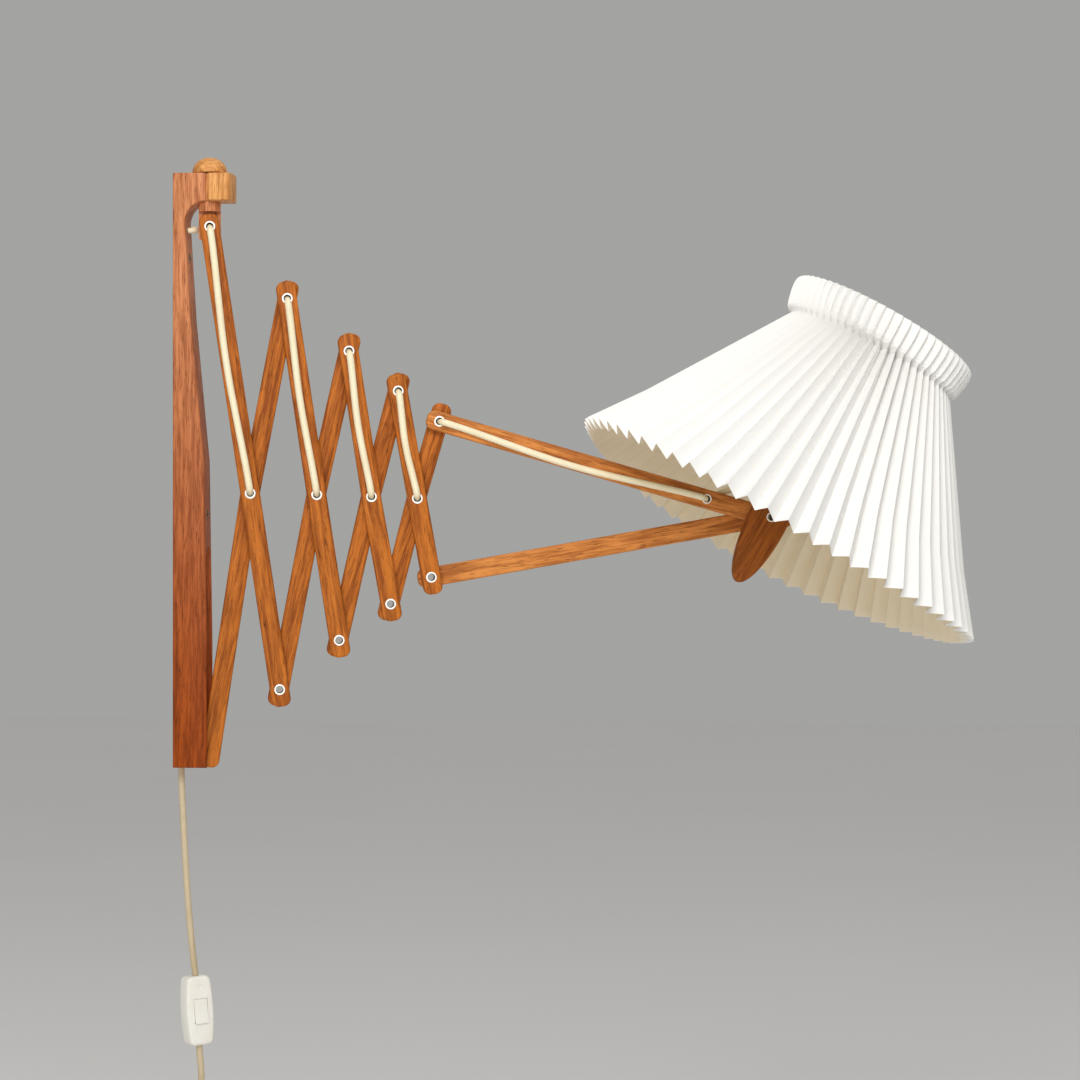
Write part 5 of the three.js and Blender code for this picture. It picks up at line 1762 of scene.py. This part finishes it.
    def make_post(self, shop: Workshop, look: Palette) -> None:
        """Makes the turned post and its domed knob."""
        low, top, r = self.link.top - self.post_foot, self.board_top, self.post_radius
        spigot, length = self.spigot
        profile = [(0, low)] + [(r - step, low + rise) for step, rise in self.post_toe]
        profile += [(r, top), (spigot, top), (spigot, top + length), (0, top + length)]
        reach = self.lap_reach
        heights = (low - PAST, self.link.top + self.lap_above)
        lap = Form.block((-reach, reach), (-reach, self.layer_gap), heights)
        hole = rod("Y", self.hole, -PAST, reach, 28).placed(shift(0, 0, self.link.top))
        mesh = shape("post", Form.turned(profile, 64), [(Part.REMOVE, lap), (Part.REMOVE, hole)])
        # the post is in the board's wood, so it takes the painted sheen near the top
        place, wood = self.link.plane(), look.board_wood
        shop.piece("post_wood", mesh, place, wood, "swivel", "wood", ["swivel_post"], Along.Z)
        mesh = shape("knob", self.knob())
        place, wood = place @ shift(0, 0, top + self.knob_gap), look.pale_wood
        shop.piece("knob_wood", mesh, place, wood, "swivel", "wood", ["swivel_knob"], Along.X)

    def knob(self) -> Form:
        """The domed knob, with the socket that takes the post's spigot."""
        (socket, depth), r, edge = self.socket, self.knob_radius, self.knob_edge
        rise, steps = self.knob_height - self.knob_side, self.knob_steps
        profile = [(0, depth), (socket, depth), (socket, 0.0), (r - edge, 0.0), (r, edge)]
        angles = [pi / 2 * k / steps for k in range(steps)]
        profile += [(r * cos(a), self.knob_side + rise * sin(a)) for a in angles]
        return Form.turned([*profile, (0, self.knob_height)], 64)

    def rivet(self, size: RivetSize, low: float, high: float) -> Form:
        """A tubular rivet along Y, with a rolled flange beyond each of two depths."""
        tube, bore, flange = size.tube, size.bore, size.flange
        rim, edge, lip = self.rim, self.rim_edge, self.lip
        start, stop = low - self.layer_gap - rim, high + self.layer_gap + rim
        profile = arc((flange - edge, start + edge), edge, -90, 0, 5)
        profile += [(flange, start + rim), (tube, start + rim)]
        profile += [(tube, stop - rim), (flange, stop - rim)]
        profile += arc((flange - edge, stop - edge), edge, 0, 90, 5)
        profile += arc((bore + lip, stop - lip), lip, 90, 180, 5)
        profile += arc((bore + lip, start + lip), lip, 180, 270, 5)
        return Form.turned(profile, 40, ring=True).placed(turn(-90, "X"))

    def make_rivets(self, shop: Workshop, look: Palette) -> None:
        """Makes all fifteen rivets."""
        link, reach, plain = self.link, self.reach(), self.plain
        jobs: list[tuple[str, Matrix, RivetSize, float, float, str]] = []
        for k, pivot in enumerate(link.t):
            body = "upper" if k == len(link.t) - 1 else f"front_{k + 1}"
            jobs.append((f"t{k}", link.at(pivot), plain, -reach, reach, body))
        for k, pivot in enumerate(link.c[:-1]):
            jobs.append((f"c{k}", link.at(pivot), plain, -reach, reach, f"front_{k + 1}"))
        for k, pivot in enumerate(link.b[1:], 1):
            jobs.append((f"b{k}", link.at(pivot), plain, -reach, reach, f"front_{k}"))
        arm, small = link.arm_axes(link.t[-1]), self.small
        eyelet, end = arm @ shift(link.arm - link.eyelet, 0, 0), arm @ shift(link.arm, 0, 0)
        jobs.append(("arm_eyelet", eyelet, small, -reach, -self.layer_gap, "upper"))
        cheek = reach + self.fork_gap + self.fork_cheek
        jobs.append(("end", end, small, -cheek, cheek, "upper"))
        for name, place, size, low, high, body in jobs:
            mesh = shape(name, self.rivet(size, low, high))
            # marks the bore, where the rivet metal paints shade
            edge = size.bore + self.bore_shade_margin
            bore = [1.0 if math.hypot(v.co.x, v.co.z) < edge else 0.0 for v in mesh.vertices]
            mesh.attributes.new("bore", "FLOAT", "POINT").data.foreach_set("value", bore)
            piece, nodes = f"eyelet_{name}", [f"rivet_{name}"]
            shop.piece(piece, mesh, place, look.rivet, body, "rivet_metal", nodes, sharp=50)


@dataclass
class BarCords:
    """The ivory cord, which goes over the bars from rivet to rivet."""

    link: Linkage
    board: WallBoard
    radius: float = 3.3
    slim: float = 2.75
    squeezed: float = 0.11
    swelling: float = 0.08
    reach: float = 11.1
    reach_gap: float = 0.4
    face: float = 10.15
    face_gap: float = 0.15
    sag: float = 5.5
    front_sag: float = 2.4
    first_sag: float = 3.8
    squeeze: float = 0.7
    arm_share: float = 0.94
    arm_stop: float = 1.9
    entry_face: float = 11.9
    entry_bend: Pair = (0.5, 7.1)
    sides: int = 18

    def girth(self, share: float) -> float:
        """The cord's radius along a stretch, whose ends are squeezed into their bores."""
        t = max(0.0, min(1.0, (min(share, 1 - share) - self.squeezed) / self.swelling))
        return self.slim + (self.radius - self.slim) * t * t * (3 - 2 * t)

    def arm_girth(self, share: float) -> float:
        """The radius along the arm, where the cord is a little thinner."""
        return self.girth(share) * self.arm_share

    def over(
        self, start: Pair, end: Pair, side: Side, sag: float = 0.0, stop: float = 0.0
    ) -> list[Vector]:
        """A path over one face of a bar.

        Args:
            start: The pivot where it comes out.
            end: The pivot where it goes in.
            side: The layer that it goes over.
            sag: How far it bows sideways in the middle.
            stop: How deep its end goes into the last bore.

        Returns:
            The path in the linkage's plane.
        """
        sx, sz = start
        run = Vector((end[0] - sx, 0, end[1] - sz))
        length = run.length
        run.normalize()
        across = Vector((run.z, 0, -run.x))
        low = self.face + self.radius + self.face_gap
        high = self.reach + self.radius + self.reach_gap
        leave = [
            (self.squeeze * 0.2, 0.3), (self.squeeze * 0.4, 4.5), (self.squeeze, 8.2),
            (self.squeeze + 1.0, high - 3.6), (4.2, high - 0.9), (7.2, high), (11.0, high - 0.25),
            (17.0, low + 0.15), (24.0, low),
        ]
        middle = [(length * share, low) for share in (0.3, 0.4, 0.5, 0.6, 0.7)]
        arrive = [(length - along, depth) for along, depth in reversed(leave)]
        if stop > 0:
            arrive = [(a, max(d, stop)) for a, d in arrive]
            arrive = arrive[:-2] + [(length - self.squeeze * 0.4, stop)]
        points = []
        for along, depth in leave + middle + arrive:
            bow = sag * sin(pi * (along / length)) ** 2 if sag else 0.0
            place = Vector((sx, 0, sz)) + run * along + across * bow
            points.append(Vector((place.x, side.value * depth, place.z)))
        return smooth_path(points, 4)

    def make(self, shop: Workshop, look: Palette) -> None:
        """Makes every stretch of the held cord."""
        link, ivory = self.link, look.ivory
        for k in range(1, len(link.halves)):
            sag, middle = self.first_sag if k == 1 else self.front_sag, link.c[k - 1]
            for side, path in (
                (Side.FRONT, self.over(link.t[k - 1], middle, Side.FRONT, sag)),
                (Side.BACK, self.over(middle, link.t[k], Side.BACK)),
            ):
                word, place = side.name.lower(), link.plane()
                mesh = shape(f"{word}_{k}", Form.tube(path, self.girth, self.sides))
                name, body, nodes = f"{word}_cord_run_{k}", f"{word}_{k}", [f"{word}_cord_{k}"]
                shop.piece(name, mesh, place, ivory, body, "ivory_cord", nodes, sharp=60)
        eyelet = (link.arm - link.eyelet, 0)
        path = self.over((0, 0), eyelet, Side.FRONT, self.sag, self.arm_stop)
        mesh = shape("arm_run", Form.tube(path, self.arm_girth, self.sides))
        place, nodes = link.arm_axes(link.t[-1]), ["arm_cord"]
        shop.piece("arm_cord_run", mesh, place, ivory, "upper", "ivory_cord", nodes, sharp=60)
        self.make_entry(shop, look)

    def make_entry(self, shop: Workshop, look: Palette) -> None:
        """The piece from the board round the post into the top pivot."""
        link = self.link
        east, north = cosine(link.swing), sine(link.swing)

        def local(x: float, y: float, z: float) -> Vector:
            """A point of the lamp's frame, in the linkage's plane."""
            out = x - link.post_x
            return Vector((out * east + y * north, -out * north + y * east, z))

        face, low, top = self.entry_face, self.board.entry_height, link.top
        rise = top - low
        points = [
            local(face, 0, low), local(face + 2.5, 0.2, low + rise / 8),
            local(face + 4.6, 2.6, low + rise / 3), Vector((-11.8, 10.5, low + rise * 0.6)),
            Vector((-9.5, 14.2, low + rise * 0.85)), Vector((-5.0, 15.6, top)),
            Vector((-1.6, 14.0, top)), Vector((-0.4, 10.5, top)),
            Vector((0, 5.0, top)), Vector((0, 0.3, top)),
        ]
        mesh = shape("entry", Form.tube(smooth_path(points, 5), self.girth, self.sides))
        leaves, follows = (Vector((face + out, 0, low)) for out in self.entry_bend)
        place, nodes, bend = link.plane(), ["entry_cord"], ("wall_unit", leaves, follows)
        shop.piece(
            "entry_cord_run", mesh, place, look.ivory, "swivel", "ivory_cord", nodes,
            sharp=60, bend=bend,
        )


# ---------- the lamp head


@dataclass
class LampHead:
    """The wooden fork, the lampholder, the bulb and the carrier that the shade sits on.

    A groove of the lampholder is pairs of a depth and a height; the tip of the cap and the neck
    of the bulb are pairs of a radius and a height.
    """

    link: Linkage
    tilt: float = 30.4
    gap: float = 0.3
    leaf_half: float = 19.2
    leaf_length: float = 68.8
    leaf_shift: float = -0.8
    leaf_skew: float = 3.4
    leaf_top: float = 40.0
    leaf_steps: int = 32
    fork_edge: float = 3.4
    fork_hole: float = 4.05
    cheek: float = 8.0
    inside: float = 10.45
    web: float = 21.0
    web_margin: float = 2.0
    offset: float = 8.5
    rear_drop: float = 15.0
    rear_side: float = 13.0
    holder_radius: float = 20.5
    holder_length: float = 44.0
    holder_foot: float = 1.5
    holder_edge: float = 1.0
    mouth_radius: float = 13.6
    mouth_floor: float = 14.0
    grooves: int = 5
    groove_low: float = 8.0
    groove_pitch: float = 4.2
    groove: Sequence[Pair] = ((0.0, 0.0), (0.8, 0.8), (0.8, 1.6), (0.0, 2.4))
    ring_radius: float = 27.0
    ring_thickness: float = 5.0
    ring_from_top: float = 12.0
    ring_edge: float = 1.0
    grips: int = 24
    grip_radius: float = 1.2
    grip_out: float = 0.4
    cap_length: float = 24.0
    cap_tip: Sequence[Pair] = ((0, 0), (4, 0.2), (5, 2), (8, 3.2), (11, 4.2))
    cap_radius: float = 12.9
    cap_rim: float = 22.0
    thread_steps: int = 28
    thread_low: float = 4.6
    thread_rise: float = 0.6
    thread_radius: float = 12.2
    thread_depth: float = 0.75
    bulb_radius: float = 29.5
    bulb_length: float = 92.0
    bulb_neck: Sequence[Pair] = ((0, 0), (12.3, 0), (12.5, 5), (13.4, 12), (16, 22), (20, 31.5))
    bulb_from: float = -36.0
    carrier_height: float = 176.0
    carrier_wire: float = 2.4
    carrier_gap: float = 0.6
    carrier_arms: int = 3
    arm_girth: float = 0.92
    cord_radius: float = 3.0
    cord_height: float = 12.0

    def matrix(self) -> Matrix:
        """The head's axes at the end pivot; +Z runs up through the shade."""
        return self.link.at(self.link.end) @ turn(self.tilt, "Y")

    def make_fork(self, shop: Workshop, look: Palette) -> None:
        """Makes the fork, whose front cheek is a rounded leaf."""
        outline: list[Pair] = []
        for k in range(self.leaf_steps + 1):
            angle = pi + pi * k / self.leaf_steps
            along = -sin(angle)
            x = self.leaf_shift + self.leaf_half * cos(angle) + self.leaf_skew * along
            outline.append((x, -self.leaf_length * along))
        left = self.leaf_shift - self.leaf_half
        right = self.offset + self.holder_radius + self.web_margin
        outline += [(right, self.web), (right, self.leaf_top), (left, self.leaf_top)]
        thick = self.inside + self.cheek
        body = Form.slab(outline, -thick, thick, self.fork_edge, 6)
        reach, over = self.leaf_length + PAST, thick + PAST
        across, behind, below = (-reach, reach), (self.inside, over), (-reach, self.web)
        cutters = [
            Form.block(across, (-self.inside, self.inside), below),
            rod("Y", self.fork_hole, -over, over, 28),
            Form.block(across, behind, (-reach, -self.rear_drop)),
            Form.block((-reach, self.leaf_shift - self.rear_side), behind, below),
        ]
        mesh = shape("fork", body, [(Part.REMOVE, cutter) for cutter in cutters])
        place, wood = self.matrix(), look.dark_wood
        shop.piece("fork_wood", mesh, place, wood, "head", "wood", ["shade_holder"], Along.Z)

    def make_lampholder(self, shop: Workshop, look: Palette) -> None:
        """Makes the lampholder and its ring."""
        base, r, length = self.leaf_top + self.gap, self.holder_radius, self.holder_length
        foot, edge, mouth = self.holder_foot, self.holder_edge, self.mouth_radius
        profile: list[Pair] = [(0, 0), (r - foot, 0), (r, foot)]
        for k in range(self.grooves):
            low = self.groove_low + k * self.groove_pitch
            profile += [(r - depth, low + height) for depth, height in self.groove]
        profile += [(r, length - edge), (r - edge, length), (mouth, length)]
        profile += [(mouth, self.mouth_floor), (0, self.mouth_floor)]
        white, word = look.white, "white_plastic"
        mesh, at = shape("holder", Form.turned(profile, 48)), self.axes(base)
        shop.piece("lampholder_shell", mesh, at, white, "head", word, ["lampholder_body"])
        inner, outer = r + self.gap, self.ring_radius
        thick, edge = self.ring_thickness, self.ring_edge
        profile = [(inner, 0), (outer - edge, 0), (outer, edge)]
        profile += [(outer, thick - edge), (outer - edge, thick), (inner, thick)]
        grip = rod("Z", self.grip_radius, -PAST, thick + PAST, 12)
        at_rim = shift(outer + self.grip_out, 0, 0)
        turns = [turn(360 * k / self.grips, "Z") for k in range(self.grips)]
        cutters = [(Part.REMOVE, grip.placed(angle @ at_rim)) for angle in turns]
        mesh = shape("nut", Form.turned(profile, 72, ring=True), cutters)
        at = self.axes(base + length - self.ring_from_top)
        shop.piece("lampholder_nut", mesh, at, white, "head", word, ["lampholder_ring"])

    def axes(self, height: float) -> Matrix:
        """The axes of the lampholder at a height in the head."""
        return self.matrix() @ shift(self.offset, 0, height)

    def make_bulb(self, shop: Workshop, look: Palette) -> None:
        """Makes the bulb and its screwed cap."""
        at = self.axes(self.leaf_top + 2 * self.gap + self.mouth_floor)
        profile: list[Pair] = [*self.cap_tip]
        for k in range(self.thread_steps):
            radius = self.thread_radius + self.thread_depth * sin(k * pi / 2)
            profile.append((radius, self.thread_low + k * self.thread_rise))
        profile += [(self.cap_radius, self.cap_rim), (self.cap_radius, self.cap_length)]
        mesh = shape("cap", Form.turned([*profile, (0, self.cap_length)], 48))
        shop.piece("cap_thread", mesh, at, look.cap, "head", "cap_metal", ["bulb_cap"], sharp=60)
        neck, r = self.cap_length + self.gap, self.bulb_radius
        centre = neck + self.bulb_length - r
        profile = [(radius, neck + rise) for radius, rise in self.bulb_neck]
        profile += arc((0, centre), r, self.bulb_from, 90, 22)[:-1] + [(0, centre + r)]
        mesh = shape("bulb", Form.turned(profile, 64))
        shop.piece("bulb_glass_body", mesh, at, look.opal, "head", "bulb_glass", ["bulb"], sharp=60)

    def make_carrier(self, shop: Workshop, look: Palette, inside: float) -> None:
        """Makes the ring and the wires that carry the shade.

        Args:
            shop: Where pieces are made.
            look: The finishes.
            inside: The radius inside the shade's folds at the ring.
        """
        seat = self.leaf_top + self.gap + self.holder_length - self.ring_from_top
        low = seat + self.ring_thickness + self.gap
        wire, half = self.carrier_wire, self.carrier_wire / 2
        inner, outer = self.holder_radius + self.gap, self.ring_radius
        profile = [(inner, low), (outer, low), (outer, low + wire), (inner, low + wire)]
        hub = Form.turned(profile, 48, ring=True)
        middle = inside - self.carrier_gap - half
        near, far = low + half, self.carrier_height + half
        angles = [2 * pi * k / 12 for k in range(12)]
        profile = [(middle + half * cos(a), far + half * sin(a)) for a in angles]
        ring = Form.turned(profile, 96, ring=True)
        bulb = self.bulb_radius
        bends = [
            (outer - wire, near), (outer + 6, near), (bulb + 10.5, near + 0.6),
            (bulb + 15, low + 6), (middle - 3.5, self.carrier_height - 8), (middle, far),
        ]
        path = smooth_path([Vector((x, 0, z)) for x, z in bends], 5)
        arm = Form.tube(path, half * self.arm_girth, 12)
        turns = [turn(360 * k / self.carrier_arms + 90, "Z") for k in range(self.carrier_arms)]
        added = [(Part.ADD, ring), *((Part.ADD, arm.placed(angle)) for angle in turns)]
        mesh, at = shape("carrier", hub, added), self.axes(0)
        nodes = ["shade_carrier"]
        shop.piece("carrier_wires", mesh, at, look.white, "head", "white_plastic", nodes, sharp=50)

    def make_socket_cord(self, shop: Workshop, look: Palette) -> None:
        """The cord from behind the arm's eyelet into the lampholder."""
        link, tilt = self.link, self.tilt
        rise = link.rise(link.t[-1])
        back, down = -link.eyelet * cosine(rise), -link.eyelet * sine(rise)
        x, z = back * cosine(tilt) - down * sine(tilt), back * sine(tilt) + down * cosine(tilt)
        up = self.leaf_top + self.gap + self.cord_height
        side, holder = self.leaf_shift - self.leaf_half - 6, self.offset - self.holder_radius
        points = [
            Vector((x, 1.6, z)), Vector((x, 4.2, z)), Vector((x + 1.5, 7.0, z + 1.5)),
            Vector((x + 6, 7.6, z + 7)), Vector((side - 6, 7.4, z + (up - z) * 0.55)),
            Vector((side - 3, 5.5, up - 5)), Vector((side + 3.5, 2.2, up)),
            Vector((holder - 3.2, 0.4, up)), Vector((holder - 0.4, 0, up)),
        ]
        mesh = shape("socket_run", Form.tube(smooth_path(points, 5), self.cord_radius, 18))
        at, nodes = self.matrix(), ["socket_cord"]
        bend = ("upper", at @ points[1], at @ points[5])
        shop.piece(
            "socket_cord_run", mesh, at, look.ivory, "head", "ivory_cord", nodes,
            sharp=60, bend=bend,
        )


@dataclass(frozen=True)
class Row:
    """A level of the shade's wall.

    The radius is that of the outer folds and the depth is the folds'. The step lifts the outer
    folds, the shift moves the level sideways, and the warp is its share in the rim's warp. The
    twist turns the whole level and the knife only the outer folds, in shares of the pitch.
    """

    height: float
    radius: float
    depth: float
    step: float = 0.0
    shift: float = 0.0
    warp: float = 0.0
    twist: float = 0.0
    knife: float = 0.0


@dataclass
class PleatedShade:
    """The pleated shade with its gathered collar."""

    head: LampHead
    pleats: int = 63
    phase: float = -1.3
    columns: Sequence[tuple[Fold, float]] = (
        (Fold.OUTER, 0.0), (Fold.FLANK, 0.25), (Fold.INNER, 0.5), (Fold.FLANK, 0.75),
    )
    rises: Sequence[float] = (0, 12, 24, 36, 48, 60, 80, 105, 130, 155, 175)
    last_rises: Pair = (12.0, 4.0)
    rim_radius: float = 211.2
    rim_height: float = -20.4
    rim_step: float = 6.7
    rim_step_height: float = 60.0
    rim_warp: float = 7.0
    rim_lean: float = 1.66
    rim_shift: float = 6.1
    collar_shift: float = -2.0
    collar_lean: float = -1.2
    collar_flare: float = 4.0
    rim_depth: float = 11.6
    neck_radius: float = 86.3
    neck_height: float = 181.2
    neck_depth: float = 14.5
    collar_radius: float = 91.6
    collar_low: float = 184.8
    collar_high: float = 214.6
    collar_depth: float = 7.6
    collar_start: float = 1.2
    twist_share: float = 0.62
    ridge: float = 0.15
    paper: float = 0.45
    wall: float = 1.1

    def inset(self, radius: float, depth: float, thickness: float) -> float:
        """How far a sheet of a thickness reaches inward along the radius of a fold."""
        half_pitch = pi * (radius - depth / 2) / self.pleats
        return thickness * math.hypot(1.0, depth / half_pitch)

    def inside(self, height: float) -> float:
        """The radius inside the folds at a height, with room for the whole wall."""
        row = self.cone_row(height - self.rim_height)
        return row.radius - row.depth - self.inset(row.radius, row.depth, self.wall)

    def cone_row(self, rise: float) -> Row:
        """The level of the cone at a height above the rim."""
        share = rise / (self.neck_height - self.rim_height)
        return Row(
            height=self.rim_height + rise,
            radius=self.rim_radius + (self.neck_radius - self.rim_radius) * share,
            depth=self.rim_depth + (self.neck_depth - self.rim_depth) * share,
            step=self.rim_step * max(0.0, 1 - rise / self.rim_step_height),
            shift=self.rim_shift * (1 - share),
            warp=1 - share,
        )

    def collar_row(
        self, height: float, radius: float, depth: float, twist: float, knife: float
    ) -> Row:
        """A level of the collar, or of the neck where it starts."""
        low, high, start = self.collar_low, self.collar_high, self.collar_start
        share = max(0.0, (height - low) / (high - low))
        begun = min(1.0, (height - self.neck_height) / (low + start - self.neck_height))
        sideways = self.collar_shift * begun + self.collar_lean * share
        return Row(height, radius, depth, shift=sideways, twist=twist, knife=knife)

    def rows(self) -> list[Row]:
        """Each level of the wall, from the rim up."""
        run = self.neck_height - self.rim_height
        rises = [*self.rises, *(run - below for below in self.last_rises)]
        neck, fold, flare = self.neck_radius, self.neck_depth, self.collar_flare
        low, high = self.collar_low, self.collar_high
        wide, deep = self.collar_radius, self.collar_depth
        collar = [
            (self.neck_height, neck, fold, 0.05, 0.0),
            (low - 1.4, neck + 1.3, fold - 1.2, 0.22, 0.08),
            (low + self.collar_start, wide - 0.5, deep + 3.2, 0.38, 0.2),
            (low + 4.5, wide + flare * 0.2, deep + 0.8, 0.5, 0.32),
            (low + 10.0, wide + flare * 0.52, deep, 0.56, 0.35),
            (low + 17.0, wide + flare * 0.86, deep - 0.3, 0.58, 0.35),
            (high - 7.0, wide + flare, deep - 1.0, 0.6, 0.35),
            (high - 3.0, wide + flare * 0.86, deep - 2.2, 0.6, 0.35),
            (high - 0.9, wide + flare * 0.45, deep - 3.2, 0.6, 0.35),
            (high, wide - 0.2, deep - 4.0, 0.6, 0.33),
        ]
        return [*map(self.cone_row, rises), *(self.collar_row(*level) for level in collar)]

    def point(self, row: Row, pleat: int, kind: Fold, place: float, inward: bool) -> Vector:
        """One point of the wall.

        Args:
            row: Its level.
            pleat: The number of its pleat.
            kind: What its column is in the pleat.
            place: Where its column is, in shares of the pitch.
            inward: Whether it lies on the inner face of the paper.

        Returns:
            The point, about the shade's own axis.
        """
        pitch = 2 * pi / self.pleats
        wobble = sin(pleat * 2.4) * 0.5 + sin(pleat * 5.1 + 1.3) * 0.3
        mid = row.warp * (1 - row.warp) * 4
        base = pitch * (pleat + place) + math.radians(self.phase)
        angle = base - row.twist * pitch * self.twist_share
        outer, inner = row.radius - self.ridge, row.radius - row.depth
        if kind is Fold.OUTER:
            radius, lift = outer, row.step
            angle += wobble * 0.0015 * mid + row.knife * pitch
        elif kind is Fold.FLANK:
            radius, lift = (outer + inner) / 2, row.step / 2
            angle += row.knife * pitch / 2
        else:
            radius, lift = inner, 0.0
            angle += sin(pleat * 3.7 + 0.5) * 0.001 * mid
        if inward:
            radius -= self.inset(row.radius, row.depth, self.paper)
        lean = -row.radius * sin(base) * sine(self.rim_lean)
        lift += (self.rim_warp * cos(2 * base) + lean) * row.warp
        x = row.shift + radius * cos(angle)
        return Vector((x, radius * sin(angle), row.height + lift))

    def make(self, shop: Workshop, look: Palette) -> None:
        """Makes the shade as one thin closed wall."""
        rows = self.rows()
        height, count = len(rows), self.pleats * len(self.columns)
        points: list[Vector] = []
        marks: dict[str, list[float]] = {"inner": [], "fold": []}
        for inward in (False, True):
            for row in rows:
                for pleat in range(self.pleats):
                    for kind, place in self.columns:
                        points.append(self.point(row, pleat, kind, place, inward))
                        # the inner mark tells the paper where to paint its shade and glow
                        marks["inner"].append(1.0 if inward else 0.0)
                        marks["fold"].append(0.0 if kind is Fold.FLANK else 1.0)
        mesh = bpy.data.meshes.new("shade_wall")
        mesh.from_pydata([tuple(point) for point in points], [], self.faces(height, count))
        for name, values in marks.items():
            mesh.attributes.new(name, "FLOAT", "POINT").data.foreach_set("value", values)
        at = self.head.axes(0)
        shop.piece("shade_paper", mesh, at, look.paper, "head", "paper", ["shade"], sharp=14)

    @staticmethod
    def faces(height: int, count: int) -> list[tuple[int, ...]]:
        """The faces of both sides of the wall and of its two rims.

        Args:
            height: How many levels the wall has.
            count: How many points each level has.

        Returns:
            The faces, as numbers of points.
        """

        def number(side: int, row: int, k: int) -> int:
            """The place of a point in the list."""
            return (side * height + row) * count + k % count

        faces: list[tuple[int, ...]] = []
        top = height - 1
        for k in range(count):
            for row in range(top):
                for side in (0, 1):
                    a, b = number(side, row, k), number(side, row, k + 1)
                    c, d = number(side, row + 1, k + 1), number(side, row + 1, k)
                    faces += [(a, b, c), (a, c, d)] if side == 0 else [(c, b, a), (d, c, a)]
            for row, first, second in ((0, k + 1, k), (top, k, k + 1)):
                outer = [number(0, row, first), number(0, row, second)]
                faces.append((*outer, number(1, row, second), number(1, row, first)))
        return faces


# ---------- assembly


def write_sizes(after: Any) -> None:
    """Takes the dressed box and does nothing with it."""

    def plain(box: Any) -> list[list[float]]:
        """The two corners as plain lists."""
        return [[float(c) for c in corner] for corner in box]


def main() -> None:
    """Builds the whole scene in order."""
    logging.basicConfig(level=logging.INFO, format="%(message)s")
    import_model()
    studio = Studio()
    studio.make_camera()
    shop = Workshop()
    look = Palette()
    switch = InlineSwitch()
    lead = MainsLead(switch)
    leads = lead.make(shop, look)
    buttons = switch.make(shop, look)
    ends = PlugAndTie(lead).make(shop, look)
    lead.declare()
    studio.make_world()
    studio.make_lamps()
    studio.make_floor()
    link = Linkage()
    board = WallBoard(link)
    board.make(shop, look)
    scissor = Scissor(link)
    scissor.make_post(shop, look)
    scissor.make_bars(shop, look)
    scissor.make_arms(shop, look)
    scissor.make_rivets(shop, look)
    BarCords(link, board).make(shop, look)
    head = LampHead(link)
    head.make_fork(shop, look)
    head.make_lampholder(shop, look)
    head.make_bulb(shop, look)
    shade = PleatedShade(head)
    head.make_carrier(shop, look, shade.inside(head.carrier_height + head.carrier_wire))
    head.make_socket_cord(shop, look)
    shade.make(shop, look)
    bpy.context.view_layer.update()
    write_sizes(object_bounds())
    log.info("%d pieces", len(shop.made))


if __name__ == "__main__":
    main()
